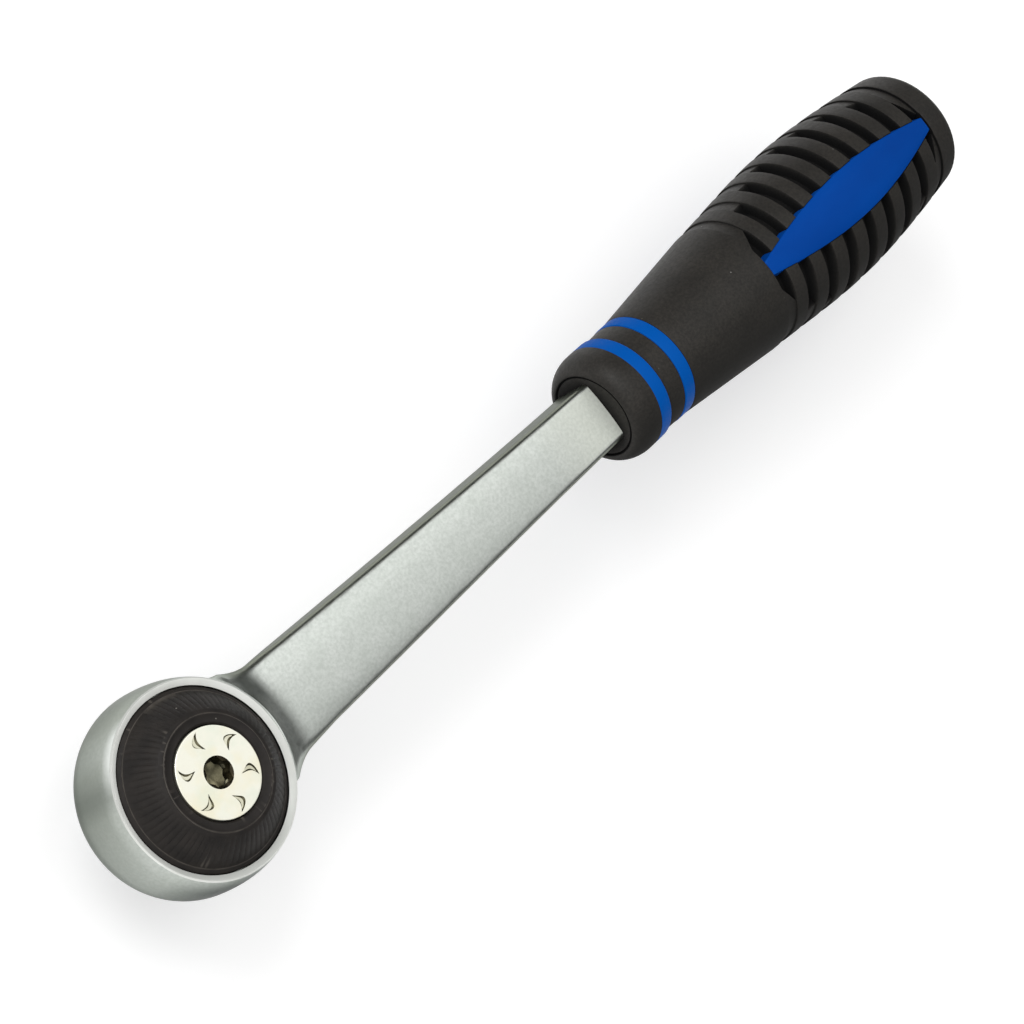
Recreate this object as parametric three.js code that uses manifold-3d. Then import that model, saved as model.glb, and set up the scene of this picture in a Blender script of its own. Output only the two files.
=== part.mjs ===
// Reversible ratchet with a round head, a half inch square drive and a two-colour soft grip.
// Millimetres. Origin at the centre of the square drive's end face, +Z up to the
// reversing dial, +X along the handle to its butt.
import * as THREE from 'three';
import { mergeVertices } from 'three/addons/utils/BufferGeometryUtils.js';
import Module from 'manifold-3d';

const wasm = await Module();
wasm.setup();

const TURN = Math.PI * 2;
const radians = (degrees) => (degrees * Math.PI) / 180;

// Flat sides that stand in for a full circle on large, middling and small pieces
const roundSides = 48;
const middleSides = 36;
const smallSides = 16;

// Square drive
const squareAcross = 12.7;
const squareLength = 14.3;
const squareCornerCut = 0.8;
const squareEndChamfer = 1.2;
const ballRadius = 2.3;
const ballClearance = 0.12;
const ballProud = 0.9;
const ballHeight = 7;
const ballBoreEnd = 4.2;

// Head, heights counted up from the square's end
const spindleShow = 0.8;
const floorThickness = 3.2;
const bowlRadius = 20.55;
const bowlWidestRise = 8.3;
const bowlFootRadius = 12;
const rimRadius = 19.26;
const headHeight = 20.25;
const headBottom = squareLength + spindleShow;
const floorTop = headBottom + floorThickness;
const rimTop = headBottom + headHeight;
const spindleRadius = 10.8;
const runningGap = 0.2;
const seatGap = 0.1;

// Teeth inside the head and the two pawls that meet them
const toothCount = 48;
const toothTipRadius = 15.2;
const toothDepth = 0.9;
const toothRootHalf = 1.3;
const toothTipHalf = 0.9;
const toothPitch = 360 / toothCount;
const toothRootRadius = toothTipRadius + toothDepth;
const pawlTipGap = 0.15;
const pawlFlankGap = 0.3;
const pawlWidth = 6.8;
const pawlHeight = 6.6;
const pawlInnerEnd = 8;
const pawlTravel = 1.4;
const lugWidth = 3;
const lugInner = 9.5;
const lugDepth = 2;

// Stack inside the head
const washerThickness = 0.8;
const discHeight = 8.5;
const discRadius = toothTipRadius - 0.3;
const snapThickness = 1.2;
const snapWidth = 2.7;
const snapGrooveDepth = 0.8;
const snapEarDepth = 1.1;
const snapOuter = toothRootRadius + snapGrooveDepth - runningGap;
const snapInner = snapOuter - snapWidth;
const hubRadius = snapInner - snapEarDepth - 2 * runningGap;
const camThickness = 1.6;
const camRadius = 13.4;
const bossRadius = 6;
const discBottom = floorTop + washerThickness + seatGap;
const discTop = discBottom + discHeight;
const snapBottom = discTop + runningGap;
const snapTop = snapBottom + snapThickness;
const hubTop = snapTop + seatGap;
const camBottom = hubTop + runningGap;
const camTop = camBottom + camThickness;
const pawlBottom = discTop - runningGap - pawlHeight;

// Reversing dial and its screw
const dialRadius = 17.71;
const dialEdgeDrop = 1;
const dialTurn = 40;
const dialShoulderRadius = 16.5;
const dialShoulderRise = 0.9;
const dialCrownRadius = 12.7;
const dialCrownRise = 5.4;
const dialTopRadius = 11.2;
const dialTopRise = 6.15;
const screwHeadRadius = 8.97;
const screwHeadThickness = 2;
const screwShankRadius = 2.9;
const screwShankLength = 12;
const screwRise = 5.19;
const screwTop = rimTop + screwRise;
const torxRadius = 3.1;
const torxDepth = 3.2;
const crescentDepth = 0.6;
const crescentCount = 6;
const waveRise = 0.2;
const waveThickness = 0.3;
const postRadius = 1.5;
const postOrbit = 10;
const dialBottom = camTop + seatGap;
const dialEdge = rimTop - dialEdgeDrop;
const screwHeadBottom = screwTop - screwHeadThickness;
const waveBottom = screwHeadBottom - seatGap - waveThickness - 2 * waveRise;
const dialSeat = waveBottom - seatGap;

// Detent under the cam plate
const detentRadius = 1.4;
const detentOrbit = 10;
const detentAngle = 18;
const detentProud = 0.5;
const detentRise = 0.4;
const detentBoreDepth = 6;

// Shank, half widths and heights about the handle's axis
const rimAboveAxis = 3.05;
const axisHeight = rimTop - rimAboveAxis;
const shankEnd = 122.4;
const neckFillet = 22;
const neckEnd = 26.8;
const neckHalfWidth = 9.45;
const shankHalfWidth = 6.75;
const neckTop = 2;
const shankTop = 4.7;
const neckUnder = -7.5;
const shankUnder = -6.8;
const shankCorner = 1.9;
const tangLength = 82.6;
const tangEnd = shankEnd + tangLength;
const tangHalfWidth = 5.8;
const tangHalfHeight = 4.4;

// Grip, along the handle's axis
const gripFit = 0.1;
const noseRadius = 12.4;
const noseFace = 8.4;
const noseLength = 7.6;
const ringFront = shankEnd + noseLength;
const ringWidth = 3.4;
const ringRadius = 12.4;
const bandWidth = 5.2;
const secondRingWidth = 3.2;
const secondRingRadius = 12.15;
const bandRadius = 11.85;
const coreRadius = 9.4;
const sleeveFront = ringFront + ringWidth + bandWidth + secondRingWidth;
const buttRounding = 1;
const buttDrop = 3.15;
const waistRadius = 12.2;
const coneLength = 28.2;
const ribbedLength = 68;
const buttWall = 6;
const coneEnd = sleeveFront + coneLength;
const sleeveEnd = coneEnd + ribbedLength;
const coreEnd = sleeveEnd - buttWall;
const coneRadius = 15.1;
const bellyRadius = 16.95;
const bellyRise = 30;
const bellyLength = 4;
const bellyFront = coneEnd + bellyRise;
const bellyBack = bellyFront + bellyLength;
const ribCount = 8;
const ribPitch = 6.85;
const ribStart = 0.75;
const firstGroove = coneEnd + ribStart;
const grooveWidth = 3.4;
const grooveDepth = 1.7;
const windowMiddle = 30.3;
const windowCentre = coneEnd + windowMiddle;
const windowHalfLength = 29.5;
const windowHalfAngle = 79;
const inlayStart = 1;
const inlayLength = 59;
const inlayFront = coneEnd + inlayStart;
const inlayEnd = inlayFront + inlayLength;
const inlayEndAngle = 6.3;
const inlayBulge = 12.6;
const inlayBelow = 0.12;

// Turns a three.js geometry into a solid, facing outwards.
function solid(geometry) {
  const bare = geometry.clone();
  bare.deleteAttribute('normal');
  bare.deleteAttribute('uv');
  const merged = mergeVertices(bare, 1e-4);
  const position = merged.attributes.position;
  const corner = (k) => new THREE.Vector3().fromBufferAttribute(position, k);
  const kept = [];
  let volume = 0;
  for (let k = 0; k < merged.index.count; k += 3) {
    const [a, b, c] = [0, 1, 2].map((n) => merged.index.getX(k + n));
    if (a === b || b === c || c === a) continue;
    kept.push([a, b, c]);
    volume += corner(a).dot(corner(b).cross(corner(c)));
  }
  const triangles = kept.flatMap(([a, b, c]) => (volume < 0 ? [a, c, b] : [a, b, c]));
  const mesh = new wasm.Mesh({
    numProp: 3,
    vertProperties: new Float32Array(position.array),
    triVerts: new Uint32Array(triangles),
  });
  return new wasm.Manifold(mesh);
}

// Joins rings of points, each ring with the same number of points, and closes both ends.
function loft(rings) {
  const count = rings[0].length;
  const points = rings.flat();
  const faces = [];
  for (let i = 0; i + 1 < rings.length; i += 1) {
    for (let k = 0; k < count; k += 1) {
      const a = i * count + k;
      const b = i * count + ((k + 1) % count);
      faces.push(a, b, b + count, a, b + count, a + count);
    }
  }
  const last = (rings.length - 1) * count;
  for (let k = 1; k + 1 < count; k += 1) {
    faces.push(0, k + 1, k, last, last + k, last + k + 1);
  }
  const geometry = new THREE.BufferGeometry();
  geometry.setAttribute('position', new THREE.Float32BufferAttribute(points.flat(), 3));
  geometry.setIndex(faces);
  return solid(geometry);
}

// A turned solid about Z from a profile of [radius, height] that closes on itself.
function turned(profile, segments = roundSides) {
  const points = profile.map(([radius, height]) => new THREE.Vector2(radius, height));
  const geometry = new THREE.LatheGeometry([...points, points[0]], segments);
  return solid(geometry.rotateX(Math.PI / 2));
}

// The same about the handle's axis, from a profile of [radius, distance along X].
function turnedAlong(profile, segments = middleSides) {
  const points = profile.map(([radius, along]) => new THREE.Vector2(radius, along));
  const geometry = new THREE.LatheGeometry([...points, points[0]], segments);
  return solid(geometry.rotateZ(-Math.PI / 2).translate(0, 0, axisHeight));
}

// A straight prism along Z from an outline of [x, y].
function prism(outline, bottom, top) {
  const shape = new THREE.Shape(outline.map(([x, y]) => new THREE.Vector2(x, y)));
  const geometry = new THREE.ExtrudeGeometry(shape, { depth: top - bottom, bevelEnabled: false });
  return solid(geometry.translate(0, 0, bottom));
}

// A straight prism along X from an outline of [y, z] about the handle's axis.
function prismAlong(outline, from, to) {
  const shape = new THREE.Shape(outline.map(([y, z]) => new THREE.Vector2(y, z)));
  const geometry = new THREE.ExtrudeGeometry(shape, { depth: to - from, bevelEnabled: false });
  const [x, y, z] = [[1, 0, 0], [0, 1, 0], [0, 0, 1]].map((axis) => new THREE.Vector3(...axis));
  geometry.applyMatrix4(new THREE.Matrix4().makeBasis(y, z, x));
  return solid(geometry.translate(from, 0, axisHeight));
}

function box(x0, x1, y0, y1, z0, z1) {
  return prism([[x0, y0], [x1, y0], [x1, y1], [x0, y1]], z0, z1);
}

const polar = (radius, degrees) => [
  radius * Math.cos(radians(degrees)),
  radius * Math.sin(radians(degrees)),
];

function cylinder(radius, bottom, top, segments = smallSides, x = 0, y = 0) {
  const profile = [[0, bottom], [radius, bottom], [radius, top], [0, top]];
  return turned(profile, segments).translate([x, y, 0]);
}

function washer(inner, outer, bottom, top, segments = middleSides) {
  return turned([[inner, bottom], [outer, bottom], [outer, top], [inner, top]], segments);
}

function ball(radius, x, y, z) {
  return solid(new THREE.SphereGeometry(radius, smallSides, 8).translate(x, y, z));
}

// A ring sector between two radii and two angles.
function sector(inner, outer, from, to, steps) {
  const angles = Array.from({ length: steps + 1 }, (_, k) => from + ((to - from) * k) / steps);
  return [
    ...angles.map((angle) => polar(typeof outer === 'function' ? outer(angle) : outer, angle)),
    ...angles.reverse().map((angle) => polar(inner, angle)),
  ];
}

// A helical spring about Z, standing on z = 0.
function spring(coilRadius, wireRadius, length, turns) {
  const stepsPerTurn = 8;
  const sides = 5;
  const steps = stepsPerTurn * turns;
  const rings = [];
  for (let i = 0; i <= steps; i += 1) {
    const angle = (TURN * i) / stepsPerTurn;
    const height = wireRadius + ((length - 2 * wireRadius) * i) / steps;
    const ring = [];
    for (let k = 0; k < sides; k += 1) {
      const turn = (TURN * k) / sides;
      const radius = coilRadius + wireRadius * Math.cos(turn);
      ring.push([
        radius * Math.cos(angle),
        radius * Math.sin(angle),
        height + wireRadius * Math.sin(turn),
      ]);
    }
    rings.push(ring);
  }
  return loft(rings);
}

// Head forging: bowl, neck, shank and the tang inside the grip
function bowl() {
  const widest = headBottom + bowlWidestRise;
  const steps = 5;
  const quarter = Array.from({ length: steps + 1 }, (_, k) => (k * Math.PI) / 2 / steps);
  const foot = quarter.map((turn) => [
    bowlFootRadius + (bowlRadius - bowlFootRadius) * Math.sin(turn),
    widest - (widest - headBottom) * Math.cos(turn),
  ]);
  const side = quarter.slice(1).map((turn) => [
    rimRadius + (bowlRadius - rimRadius) * Math.cos(turn),
    widest + (rimTop - widest) * Math.sin(turn),
  ]);
  return turned([[0, headBottom], ...foot, ...side, [0, rimTop]], roundSides);
}

function shankHalf(x) {
  if (x < neckEnd) {
    const centre = neckHalfWidth + neckFillet;
    const reach = Math.min(neckEnd - x, neckFillet * 0.72);
    return centre - Math.sqrt(neckFillet ** 2 - reach ** 2);
  }
  const part = (x - neckEnd) / (shankEnd - neckEnd);
  return shankHalfWidth + (neckHalfWidth - shankHalfWidth) * (1 - part) ** 1.3;
}

function shankHeights(x) {
  const part = Math.max(0, (x - neckEnd) / (shankEnd - neckEnd));
  const near = Math.max(0, (neckEnd - x) / 13);
  const top = neckTop + (shankTop - neckTop) * part + 0.9 * near ** 2;
  const under = neckUnder + (shankUnder - neckUnder) * part - 5 * near ** 2;
  return [under, top];
}

// A rounded box section at one place along the handle.
function boxSection(x, half, under, top, corner) {
  const steps = 3;
  const centres = [
    [half - corner, top - corner, 0],
    [corner - half, top - corner, 90],
    [corner - half, under + corner, 180],
    [half - corner, under + corner, 270],
  ];
  return centres.flatMap(([y, z, start]) => Array.from({ length: steps + 1 }, (_, k) => {
    const [dy, dz] = polar(corner, start + (90 * k) / steps);
    return [x, y + dy, axisHeight + z + dz];
  }));
}

function shank(grow) {
  const places = [12, 14.5, 17, 20, 23, neckEnd, 45, 68, 92, shankEnd];
  return loft(places.map((x) => {
    const [under, top] = shankHeights(x);
    return boxSection(x, shankHalf(x) + grow, under - grow, top + grow, shankCorner + grow);
  }));
}

const shankMiddle = (shankTop + shankUnder) / 2;

function tang(grow) {
  const under = shankMiddle - tangHalfHeight - grow;
  const top = shankMiddle + tangHalfHeight + grow;
  const places = [shankEnd - 4, tangEnd + grow];
  return loft(places.map((x) => boxSection(x, tangHalfWidth + grow, under, top, 1.2 + grow)));
}

function toothOutline() {
  const flank = toothPitch / 2 - toothTipHalf;
  return Array.from({ length: toothCount }, (_, k) => k * toothPitch).flatMap((middle) => [
    polar(toothTipRadius, middle - flank),
    polar(toothRootRadius, middle - toothRootHalf),
    polar(toothRootRadius, middle + toothRootHalf),
    polar(toothTipRadius, middle + flank),
  ]);
}

function headHousing() {
  const recess = dialRadius + runningGap;
  const grooveRadius = toothRootRadius + snapGrooveDepth;
  const lift = 2;
  const chamber = turned([
    [0, snapBottom - seatGap],
    [grooveRadius, snapBottom - seatGap],
    [grooveRadius, snapTop + seatGap],
    [toothRootRadius, snapTop + seatGap],
    [toothRootRadius, dialBottom - runningGap],
    [recess, dialBottom - runningGap],
    [recess, rimTop + lift],
    [0, rimTop + lift],
  ], roundSides);
  return bowl()
    .add(shank(0))
    .add(tang(0))
    .subtract(chamber)
    .subtract(prism(toothOutline(), floorTop, snapBottom))
    .subtract(cylinder(spindleRadius + runningGap, headBottom - lift, floorTop + lift, roundSides));
}

// Drive core with the square, the spindle and the pawl slots
const sealRadius = 0.7;
const sealGrooveDepth = 1.3;
const sealHeight = headBottom + floorThickness / 2;

function squareOutline(half) {
  const cut = squareCornerCut;
  return [
    [half, cut - half], [half, half - cut], [half - cut, half], [cut - half, half],
    [-half, half - cut], [-half, cut - half], [cut - half, -half], [half - cut, -half],
  ];
}

function squareDrive() {
  const half = squareAcross / 2;
  const at = (size, z) => squareOutline(size).map(([x, y]) => [x, y, z]);
  return loft([
    at(half - squareEndChamfer, 0),
    at(half, squareEndChamfer),
    at(half, squareLength + seatGap),
  ]);
}

const pawlSlotEnd = 4.2;
const pawlSlotHalf = pawlWidth / 2 + seatGap;

function driveCore() {
  const grooveHalf = sealRadius + seatGap / 2;
  const grooveRadius = spindleRadius - sealGrooveDepth;
  const body = turned([
    [0, squareLength],
    [spindleRadius, squareLength],
    [spindleRadius, sealHeight - grooveHalf],
    [grooveRadius, sealHeight - grooveHalf],
    [grooveRadius, sealHeight + grooveHalf],
    [spindleRadius, sealHeight + grooveHalf],
    [spindleRadius, discBottom],
    [discRadius, discBottom],
    [discRadius, discTop],
    [hubRadius, discTop],
    [hubRadius, hubTop],
    [bossRadius, hubTop],
    [bossRadius, screwHeadBottom],
    [0, screwHeadBottom],
  ], middleSides);
  const slot = (side) => box(
    -pawlSlotHalf,
    pawlSlotHalf,
    Math.min(side * pawlSlotEnd, side * 20),
    Math.max(side * pawlSlotEnd, side * 20),
    pawlBottom - seatGap,
    hubTop,
  );
  const [detentX, detentY] = polar(detentOrbit, detentAngle);
  const detentBore = cylinder(
    detentRadius + seatGap,
    hubTop - detentBoreDepth,
    hubTop + 1,
    smallSides,
    detentX,
    detentY,
  );
  const ballBore = cylinder(ballRadius + ballClearance, -ballBoreEnd, squareAcross)
    .rotate([90, 0, 0])
    .translate([0, 0, ballHeight]);
  const screwBore = cylinder(
    screwShankRadius + seatGap,
    screwHeadBottom - screwShankLength - seatGap,
    screwHeadBottom + 1,
  );
  return body
    .add(squareDrive())
    .subtract(slot(1))
    .subtract(slot(-1))
    .subtract(screwBore)
    .subtract(ballBore)
    .subtract(detentBore);
}

// Sliding pawls: a left one drawn in mesh and a right one drawn back by the cam plate
function pawlOutline(hand) {
  const tip = toothRootRadius - pawlTipGap;
  const base = toothTipRadius - 0.2;
  const flankAt = (radius) => {
    const part = (toothRootRadius - radius) / toothDepth;
    const open = toothPitch / 2 - toothTipHalf - toothRootHalf;
    return toothRootHalf + open * part - pawlFlankGap;
  };
  const half = pawlWidth / 2;
  const teeth = [1, 0, -1].flatMap((place) => {
    const middle = 90 + place * toothPitch;
    const steep = [base, tip].map((radius) => polar(radius, middle + hand * flankAt(radius)));
    const sloped = [polar(tip, middle - hand * 0.2), polar(base, middle - hand * flankAt(base))];
    return hand > 0 ? [...steep, ...sloped] : [...steep, ...sloped].reverse();
  });
  const shoulder = Math.sqrt(base ** 2 - half ** 2) - 0.1;
  return [
    [half, pawlInnerEnd],
    [half, shoulder],
    ...teeth.reverse(),
    [-half, shoulder],
    [-half, pawlInnerEnd],
  ];
}

const pawlSpringRadius = 1.25;
const pawlSpringWire = 0.3;
const pawlPocketRadius = 1.75;
const pawlPocketDepth = 2.6;
const pawlMiddle = pawlBottom + pawlHeight / 2;

function pawl(hand) {
  const pocket = cylinder(pawlPocketRadius, pawlInnerEnd - 1, pawlInnerEnd + pawlPocketDepth)
    .rotate([-90, 0, 0])
    .translate([0, 0, pawlMiddle]);
  const lug = box(
    -lugWidth / 2,
    lugWidth / 2,
    lugInner,
    lugInner + lugDepth,
    pawlBottom + pawlHeight - 1,
    camTop - seatGap,
  );
  return prism(pawlOutline(hand), pawlBottom, pawlBottom + pawlHeight).add(lug).subtract(pocket);
}

function pawlSpring(drawnBack) {
  const start = pawlSlotEnd + seatGap;
  const end = pawlInnerEnd + pawlPocketDepth - seatGap - drawnBack;
  return spring(pawlSpringRadius, pawlSpringWire, end - start, 5)
    .rotate([-90, 0, 0])
    .translate([0, start, pawlMiddle]);
}

const halfTurn = (piece) => piece.rotate([0, 0, 180]);
const engagedPawl = pawl(1);
const drawnPawl = halfTurn(pawl(-1).translate([0, -pawlTravel, 0]));

// Cam plate: spiral edged slots draw the pawls in and out as the dial turns
const lugReach = Math.hypot(lugInner + lugDepth, lugWidth / 2);
const slotInner = lugInner - pawlTravel - 0.7;
const lugHalfAngle = 12;

function camSlot(lugAngle, outward) {
  const from = lugAngle - dialTurn - lugHalfAngle;
  const to = lugAngle + lugHalfAngle;
  const full = lugReach + runningGap;
  const draw = pawlTravel / dialTurn;
  const edge = (angle) => {
    const turn = lugAngle - angle;
    const lead = outward ? turn + lugHalfAngle : turn - lugHalfAngle;
    const fall = outward ? pawlTravel - draw * lead : draw * lead;
    return full - Math.min(pawlTravel, Math.max(0, fall));
  };
  return prism(sector(slotInner, edge, from, to, 12), camBottom - 1, camTop + 1);
}

const postAngle = 130;
const postClearance = 0.1;

function camPlate() {
  const trackInner = detentOrbit - detentRadius - seatGap;
  const trackOuter = detentOrbit + detentRadius + seatGap;
  const trackTop = camBottom - runningGap + detentProud + 0.1 + seatGap;
  const track = sector(trackInner, trackOuter, detentAngle - dialTurn, detentAngle, 8);
  let plate = washer(bossRadius + runningGap, camRadius - seatGap, camBottom, camTop)
    .subtract(camSlot(90, false))
    .subtract(camSlot(270, true))
    .subtract(prism(track, camBottom - 1, trackTop));
  for (const angle of [detentAngle, detentAngle - dialTurn]) {
    const [x, y] = polar(detentOrbit, angle);
    const top = trackTop + detentRise;
    plate = plate.subtract(cylinder(detentRadius + seatGap, camBottom - 1, top, smallSides, x, y));
  }
  for (const angle of [postAngle, postAngle + 180]) {
    const [x, y] = polar(postOrbit, angle);
    const hole = cylinder(postRadius + postClearance, camBottom - 1, camTop + 1, smallSides, x, y);
    plate = plate.subtract(hole);
  }
  return plate;
}

function reversingDial() {
  const bore = bossRadius + runningGap;
  const seat = screwHeadRadius + 0.25;
  let dial = turned([
    [bore, dialBottom],
    [dialRadius, dialBottom],
    [dialRadius, dialEdge],
    [dialShoulderRadius, dialEdge + dialShoulderRise],
    [dialCrownRadius, dialEdge + dialCrownRise],
    [dialTopRadius, dialEdge + dialTopRise],
    [seat, dialEdge + dialTopRise],
    [seat, dialSeat],
    [bore, dialSeat],
  ]);
  for (const angle of [postAngle, postAngle + 180]) {
    const [x, y] = polar(postOrbit, angle);
    dial = dial.add(cylinder(postRadius, camBottom, dialBottom + 1, smallSides, x, y));
  }
  return dial;
}

function torxOutline() {
  const points = 36;
  return Array.from({ length: points }, (_, k) => {
    const angle = (360 * k) / points;
    return polar(torxRadius * (0.875 + 0.125 * Math.cos(radians(6 * angle))), angle);
  });
}

function crescentOutline() {
  const steps = 4;
  const inner = 4.5;
  const outer = 8.5;
  const edge = (bulge) => Array.from({ length: steps + 1 }, (_, k) => {
    const part = k / steps;
    return polar(inner + (outer - inner) * part, 20 + bulge * Math.sin(Math.PI * part));
  });
  return [...edge(14), ...edge(6).reverse().slice(1, -1)];
}

function dialScrew() {
  const disc = turned([
    [0, screwHeadBottom - screwShankLength],
    [screwShankRadius, screwHeadBottom - screwShankLength],
    [screwShankRadius, screwHeadBottom],
    [screwHeadRadius, screwHeadBottom],
    [screwHeadRadius, screwTop - 0.3],
    [screwHeadRadius - 0.3, screwTop],
    [0, screwTop],
  ]);
  const crescent = prism(crescentOutline(), screwTop - crescentDepth, screwTop + 1);
  let screw = disc.subtract(prism(torxOutline(), screwTop - torxDepth, screwTop + 1));
  for (let k = 0; k < crescentCount; k += 1) {
    screw = screw.subtract(crescent.rotate([0, 0, (360 * k) / crescentCount]));
  }
  return screw;
}

function waveWasher() {
  const steps = 30;
  const inner = bossRadius + runningGap + 0.2;
  const outer = screwHeadRadius - 0.2;
  const rings = Array.from({ length: steps }, (_, k) => {
    const angle = (360 * k) / steps;
    const height = waveBottom + waveRise * (1 + Math.cos(radians(3 * angle)));
    return [
      [...polar(inner, angle), height],
      [...polar(outer, angle), height],
      [...polar(outer, angle), height + waveThickness],
      [...polar(inner, angle), height + waveThickness],
    ];
  });
  const faces = [];
  for (let i = 0; i < steps; i += 1) {
    for (let k = 0; k < 4; k += 1) {
      const a = i * 4 + k;
      const b = i * 4 + ((k + 1) % 4);
      const next = (((i + 1) % steps) - i) * 4;
      faces.push(a, b, b + next, a, b + next, a + next);
    }
  }
  const geometry = new THREE.BufferGeometry();
  geometry.setAttribute('position', new THREE.Float32BufferAttribute(rings.flat(2), 3));
  geometry.setIndex(faces);
  return solid(geometry);
}

function snapRing() {
  const gap = 16;
  const earWidth = 11;
  const earInner = snapInner - snapEarDepth;
  const holeOrbit = (earInner + snapInner + 0.8) / 2;
  let ring = prism(sector(snapInner, snapOuter, gap, 360 - gap, 32), snapBottom, snapTop);
  for (const side of [1, -1]) {
    const middle = side * (gap + earWidth / 2);
    const [x, y] = polar(holeOrbit, middle);
    const ear = sector(earInner, snapInner + 0.5, middle - earWidth / 2, middle + earWidth / 2, 4);
    ring = ring
      .add(prism(ear, snapBottom, snapTop))
      .subtract(cylinder(0.7, snapBottom - 1, snapTop + 1, 12, x, y));
  }
  return ring;
}

function spindleSeal() {
  const orbit = spindleRadius - sealGrooveDepth + sealRadius + seatGap / 2;
  return solid(new THREE.TorusGeometry(orbit, sealRadius, 6, middleSides).translate(0, 0, sealHeight));
}

// Spring in the square behind the socket ball, and spring under the detent ball
const ballCentre = squareAcross / 2 + ballProud - ballRadius;

function socketSpring() {
  const length = ballBoreEnd + ballCentre - ballRadius - 2 * seatGap;
  return spring(1.6, 0.32, length, 4)
    .rotate([90, 0, 0])
    .translate([0, ballBoreEnd - seatGap, ballHeight]);
}

const detentTop = camBottom - runningGap + detentProud + 0.1;
const detentCentre = detentTop - detentRadius;

function detentSpring() {
  const [x, y] = polar(detentOrbit, detentAngle);
  const start = hubTop - detentBoreDepth + seatGap;
  const length = detentCentre - detentRadius - seatGap - start;
  return spring(0.95, 0.25, length, 4).translate([x, y, start]);
}

// Grip: a hard blue core with two rings and two inlays, and three soft black pieces
function barrelRadius(x) {
  if (x < coneEnd) {
    const along = (x - sleeveFront) / (coneEnd - sleeveFront);
    return waistRadius + (coneRadius - waistRadius) * along;
  }
  const swell = Math.min(1, (x - coneEnd) / (bellyFront - coneEnd));
  const rise = (Math.sin((swell * Math.PI) / 2) + THREE.MathUtils.smoothstep(swell, 0, 1)) / 2;
  const tail = Math.max(0, x - bellyBack) / (sleeveEnd - bellyBack);
  return coneRadius + (bellyRadius - coneRadius) * rise - buttDrop * tail ** 1.5;
}

function inlayHalfAngle(x) {
  const middle = (inlayFront + inlayEnd) / 2;
  const reach = (x - middle) / ((inlayEnd - inlayFront) / 2);
  return inlayEndAngle + inlayBulge * (1 - reach ** 2);
}

// An inlay block standing on the core, or with growth the window for it.
function inlay(grow, outward) {
  const places = Array.from({ length: 9 }, (_, k) => k / 8);
  const from = inlayFront - grow;
  const to = inlayEnd + grow;
  return loft(places.map((part) => {
    const x = from + (to - from) * part;
    const radius = barrelRadius(x) + outward;
    const half = inlayHalfAngle(x) + (grow / radius) * (180 / Math.PI);
    const arc = Array.from({ length: 5 }, (_, k) => half - (half * k) / 2);
    const outer = arc.map((angle) => polar(radius, angle).reverse());
    const side = coreRadius * Math.cos(radians(half)) - 2.6;
    const wide = outer[0][0];
    return [[wide, side], ...outer, [-wide, side]].map(([y, z]) => [x, y, axisHeight + z]);
  }));
}

// The same piece turned half a turn about the handle's axis.
const underneath = (piece) => piece.rotate([180, 0, 0]).translate([0, 0, 2 * axisHeight]);

function gripCore() {
  const ringEnd = ringFront + ringWidth;
  const secondFront = ringEnd + bandWidth;
  const body = turnedAlong([
    [0, ringFront],
    [ringRadius, ringFront],
    [ringRadius, ringEnd],
    [coreRadius, ringEnd],
    [coreRadius, secondFront],
    [secondRingRadius, secondFront],
    [secondRingRadius, sleeveFront],
    [coreRadius, sleeveFront],
    [coreRadius, coreEnd],
    [0, coreEnd],
  ]);
  const pad = inlay(0, -inlayBelow);
  return body.add(pad).add(underneath(pad)).subtract(tang(gripFit));
}

function gripNose() {
  const steps = 5;
  const shoulder = Array.from({ length: steps + 1 }, (_, k) => {
    const turn = (k * Math.PI) / 2 / steps;
    const rise = (noseRadius - noseFace) * Math.sin(turn);
    return [noseFace + rise, shankEnd + (ringFront - 1.5 - shankEnd) * (1 - Math.cos(turn))];
  });
  const body = turnedAlong([
    [0, shankEnd],
    ...shoulder,
    [noseRadius, ringFront],
    [0, ringFront],
  ]);
  return body.subtract(tang(gripFit));
}

function gripBand() {
  const from = ringFront + ringWidth;
  return turnedAlong([
    [coreRadius + gripFit, from],
    [bandRadius, from],
    [bandRadius + 0.2, from + bandWidth],
    [coreRadius + gripFit, from + bandWidth],
  ]);
}

function gripSleeve() {
  const steps = 12;
  const outside = Array.from({ length: steps + 1 }, (_, k) => {
    const x = sleeveFront + ((sleeveEnd - buttRounding - sleeveFront) * k) / steps;
    return [barrelRadius(x), x];
  });
  const hollow = coreRadius + gripFit;
  let sleeve = turnedAlong([
    [hollow, sleeveFront],
    ...outside,
    [barrelRadius(sleeveEnd) - buttRounding, sleeveEnd],
    [0, sleeveEnd],
    [0, coreEnd + gripFit],
    [hollow, coreEnd + gripFit],
  ]);
  const window = inlay(gripFit, 2);
  sleeve = sleeve.subtract(window).subtract(underneath(window));
  for (let k = 0; k <= ribCount; k += 1) {
    const from = firstGroove + k * ribPitch;
    const middle = from + grooveWidth / 2;
    const reach = (middle - windowCentre) / windowHalfLength;
    const half = windowHalfAngle * Math.sqrt(Math.max(0.05, 1 - reach ** 2));
    const floor = barrelRadius(middle) - grooveDepth;
    const outline = sector(floor, floor + 4, 90 - half, 90 + half, 8);
    const cut = prismAlong(outline, from, from + grooveWidth);
    sleeve = sleeve.subtract(cut).subtract(underneath(cut));
  }
  return sleeve;
}

// Finishes
function finish(color, metalness, roughness) {
  return new THREE.MeshStandardMaterial({ color, metalness, roughness });
}

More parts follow.
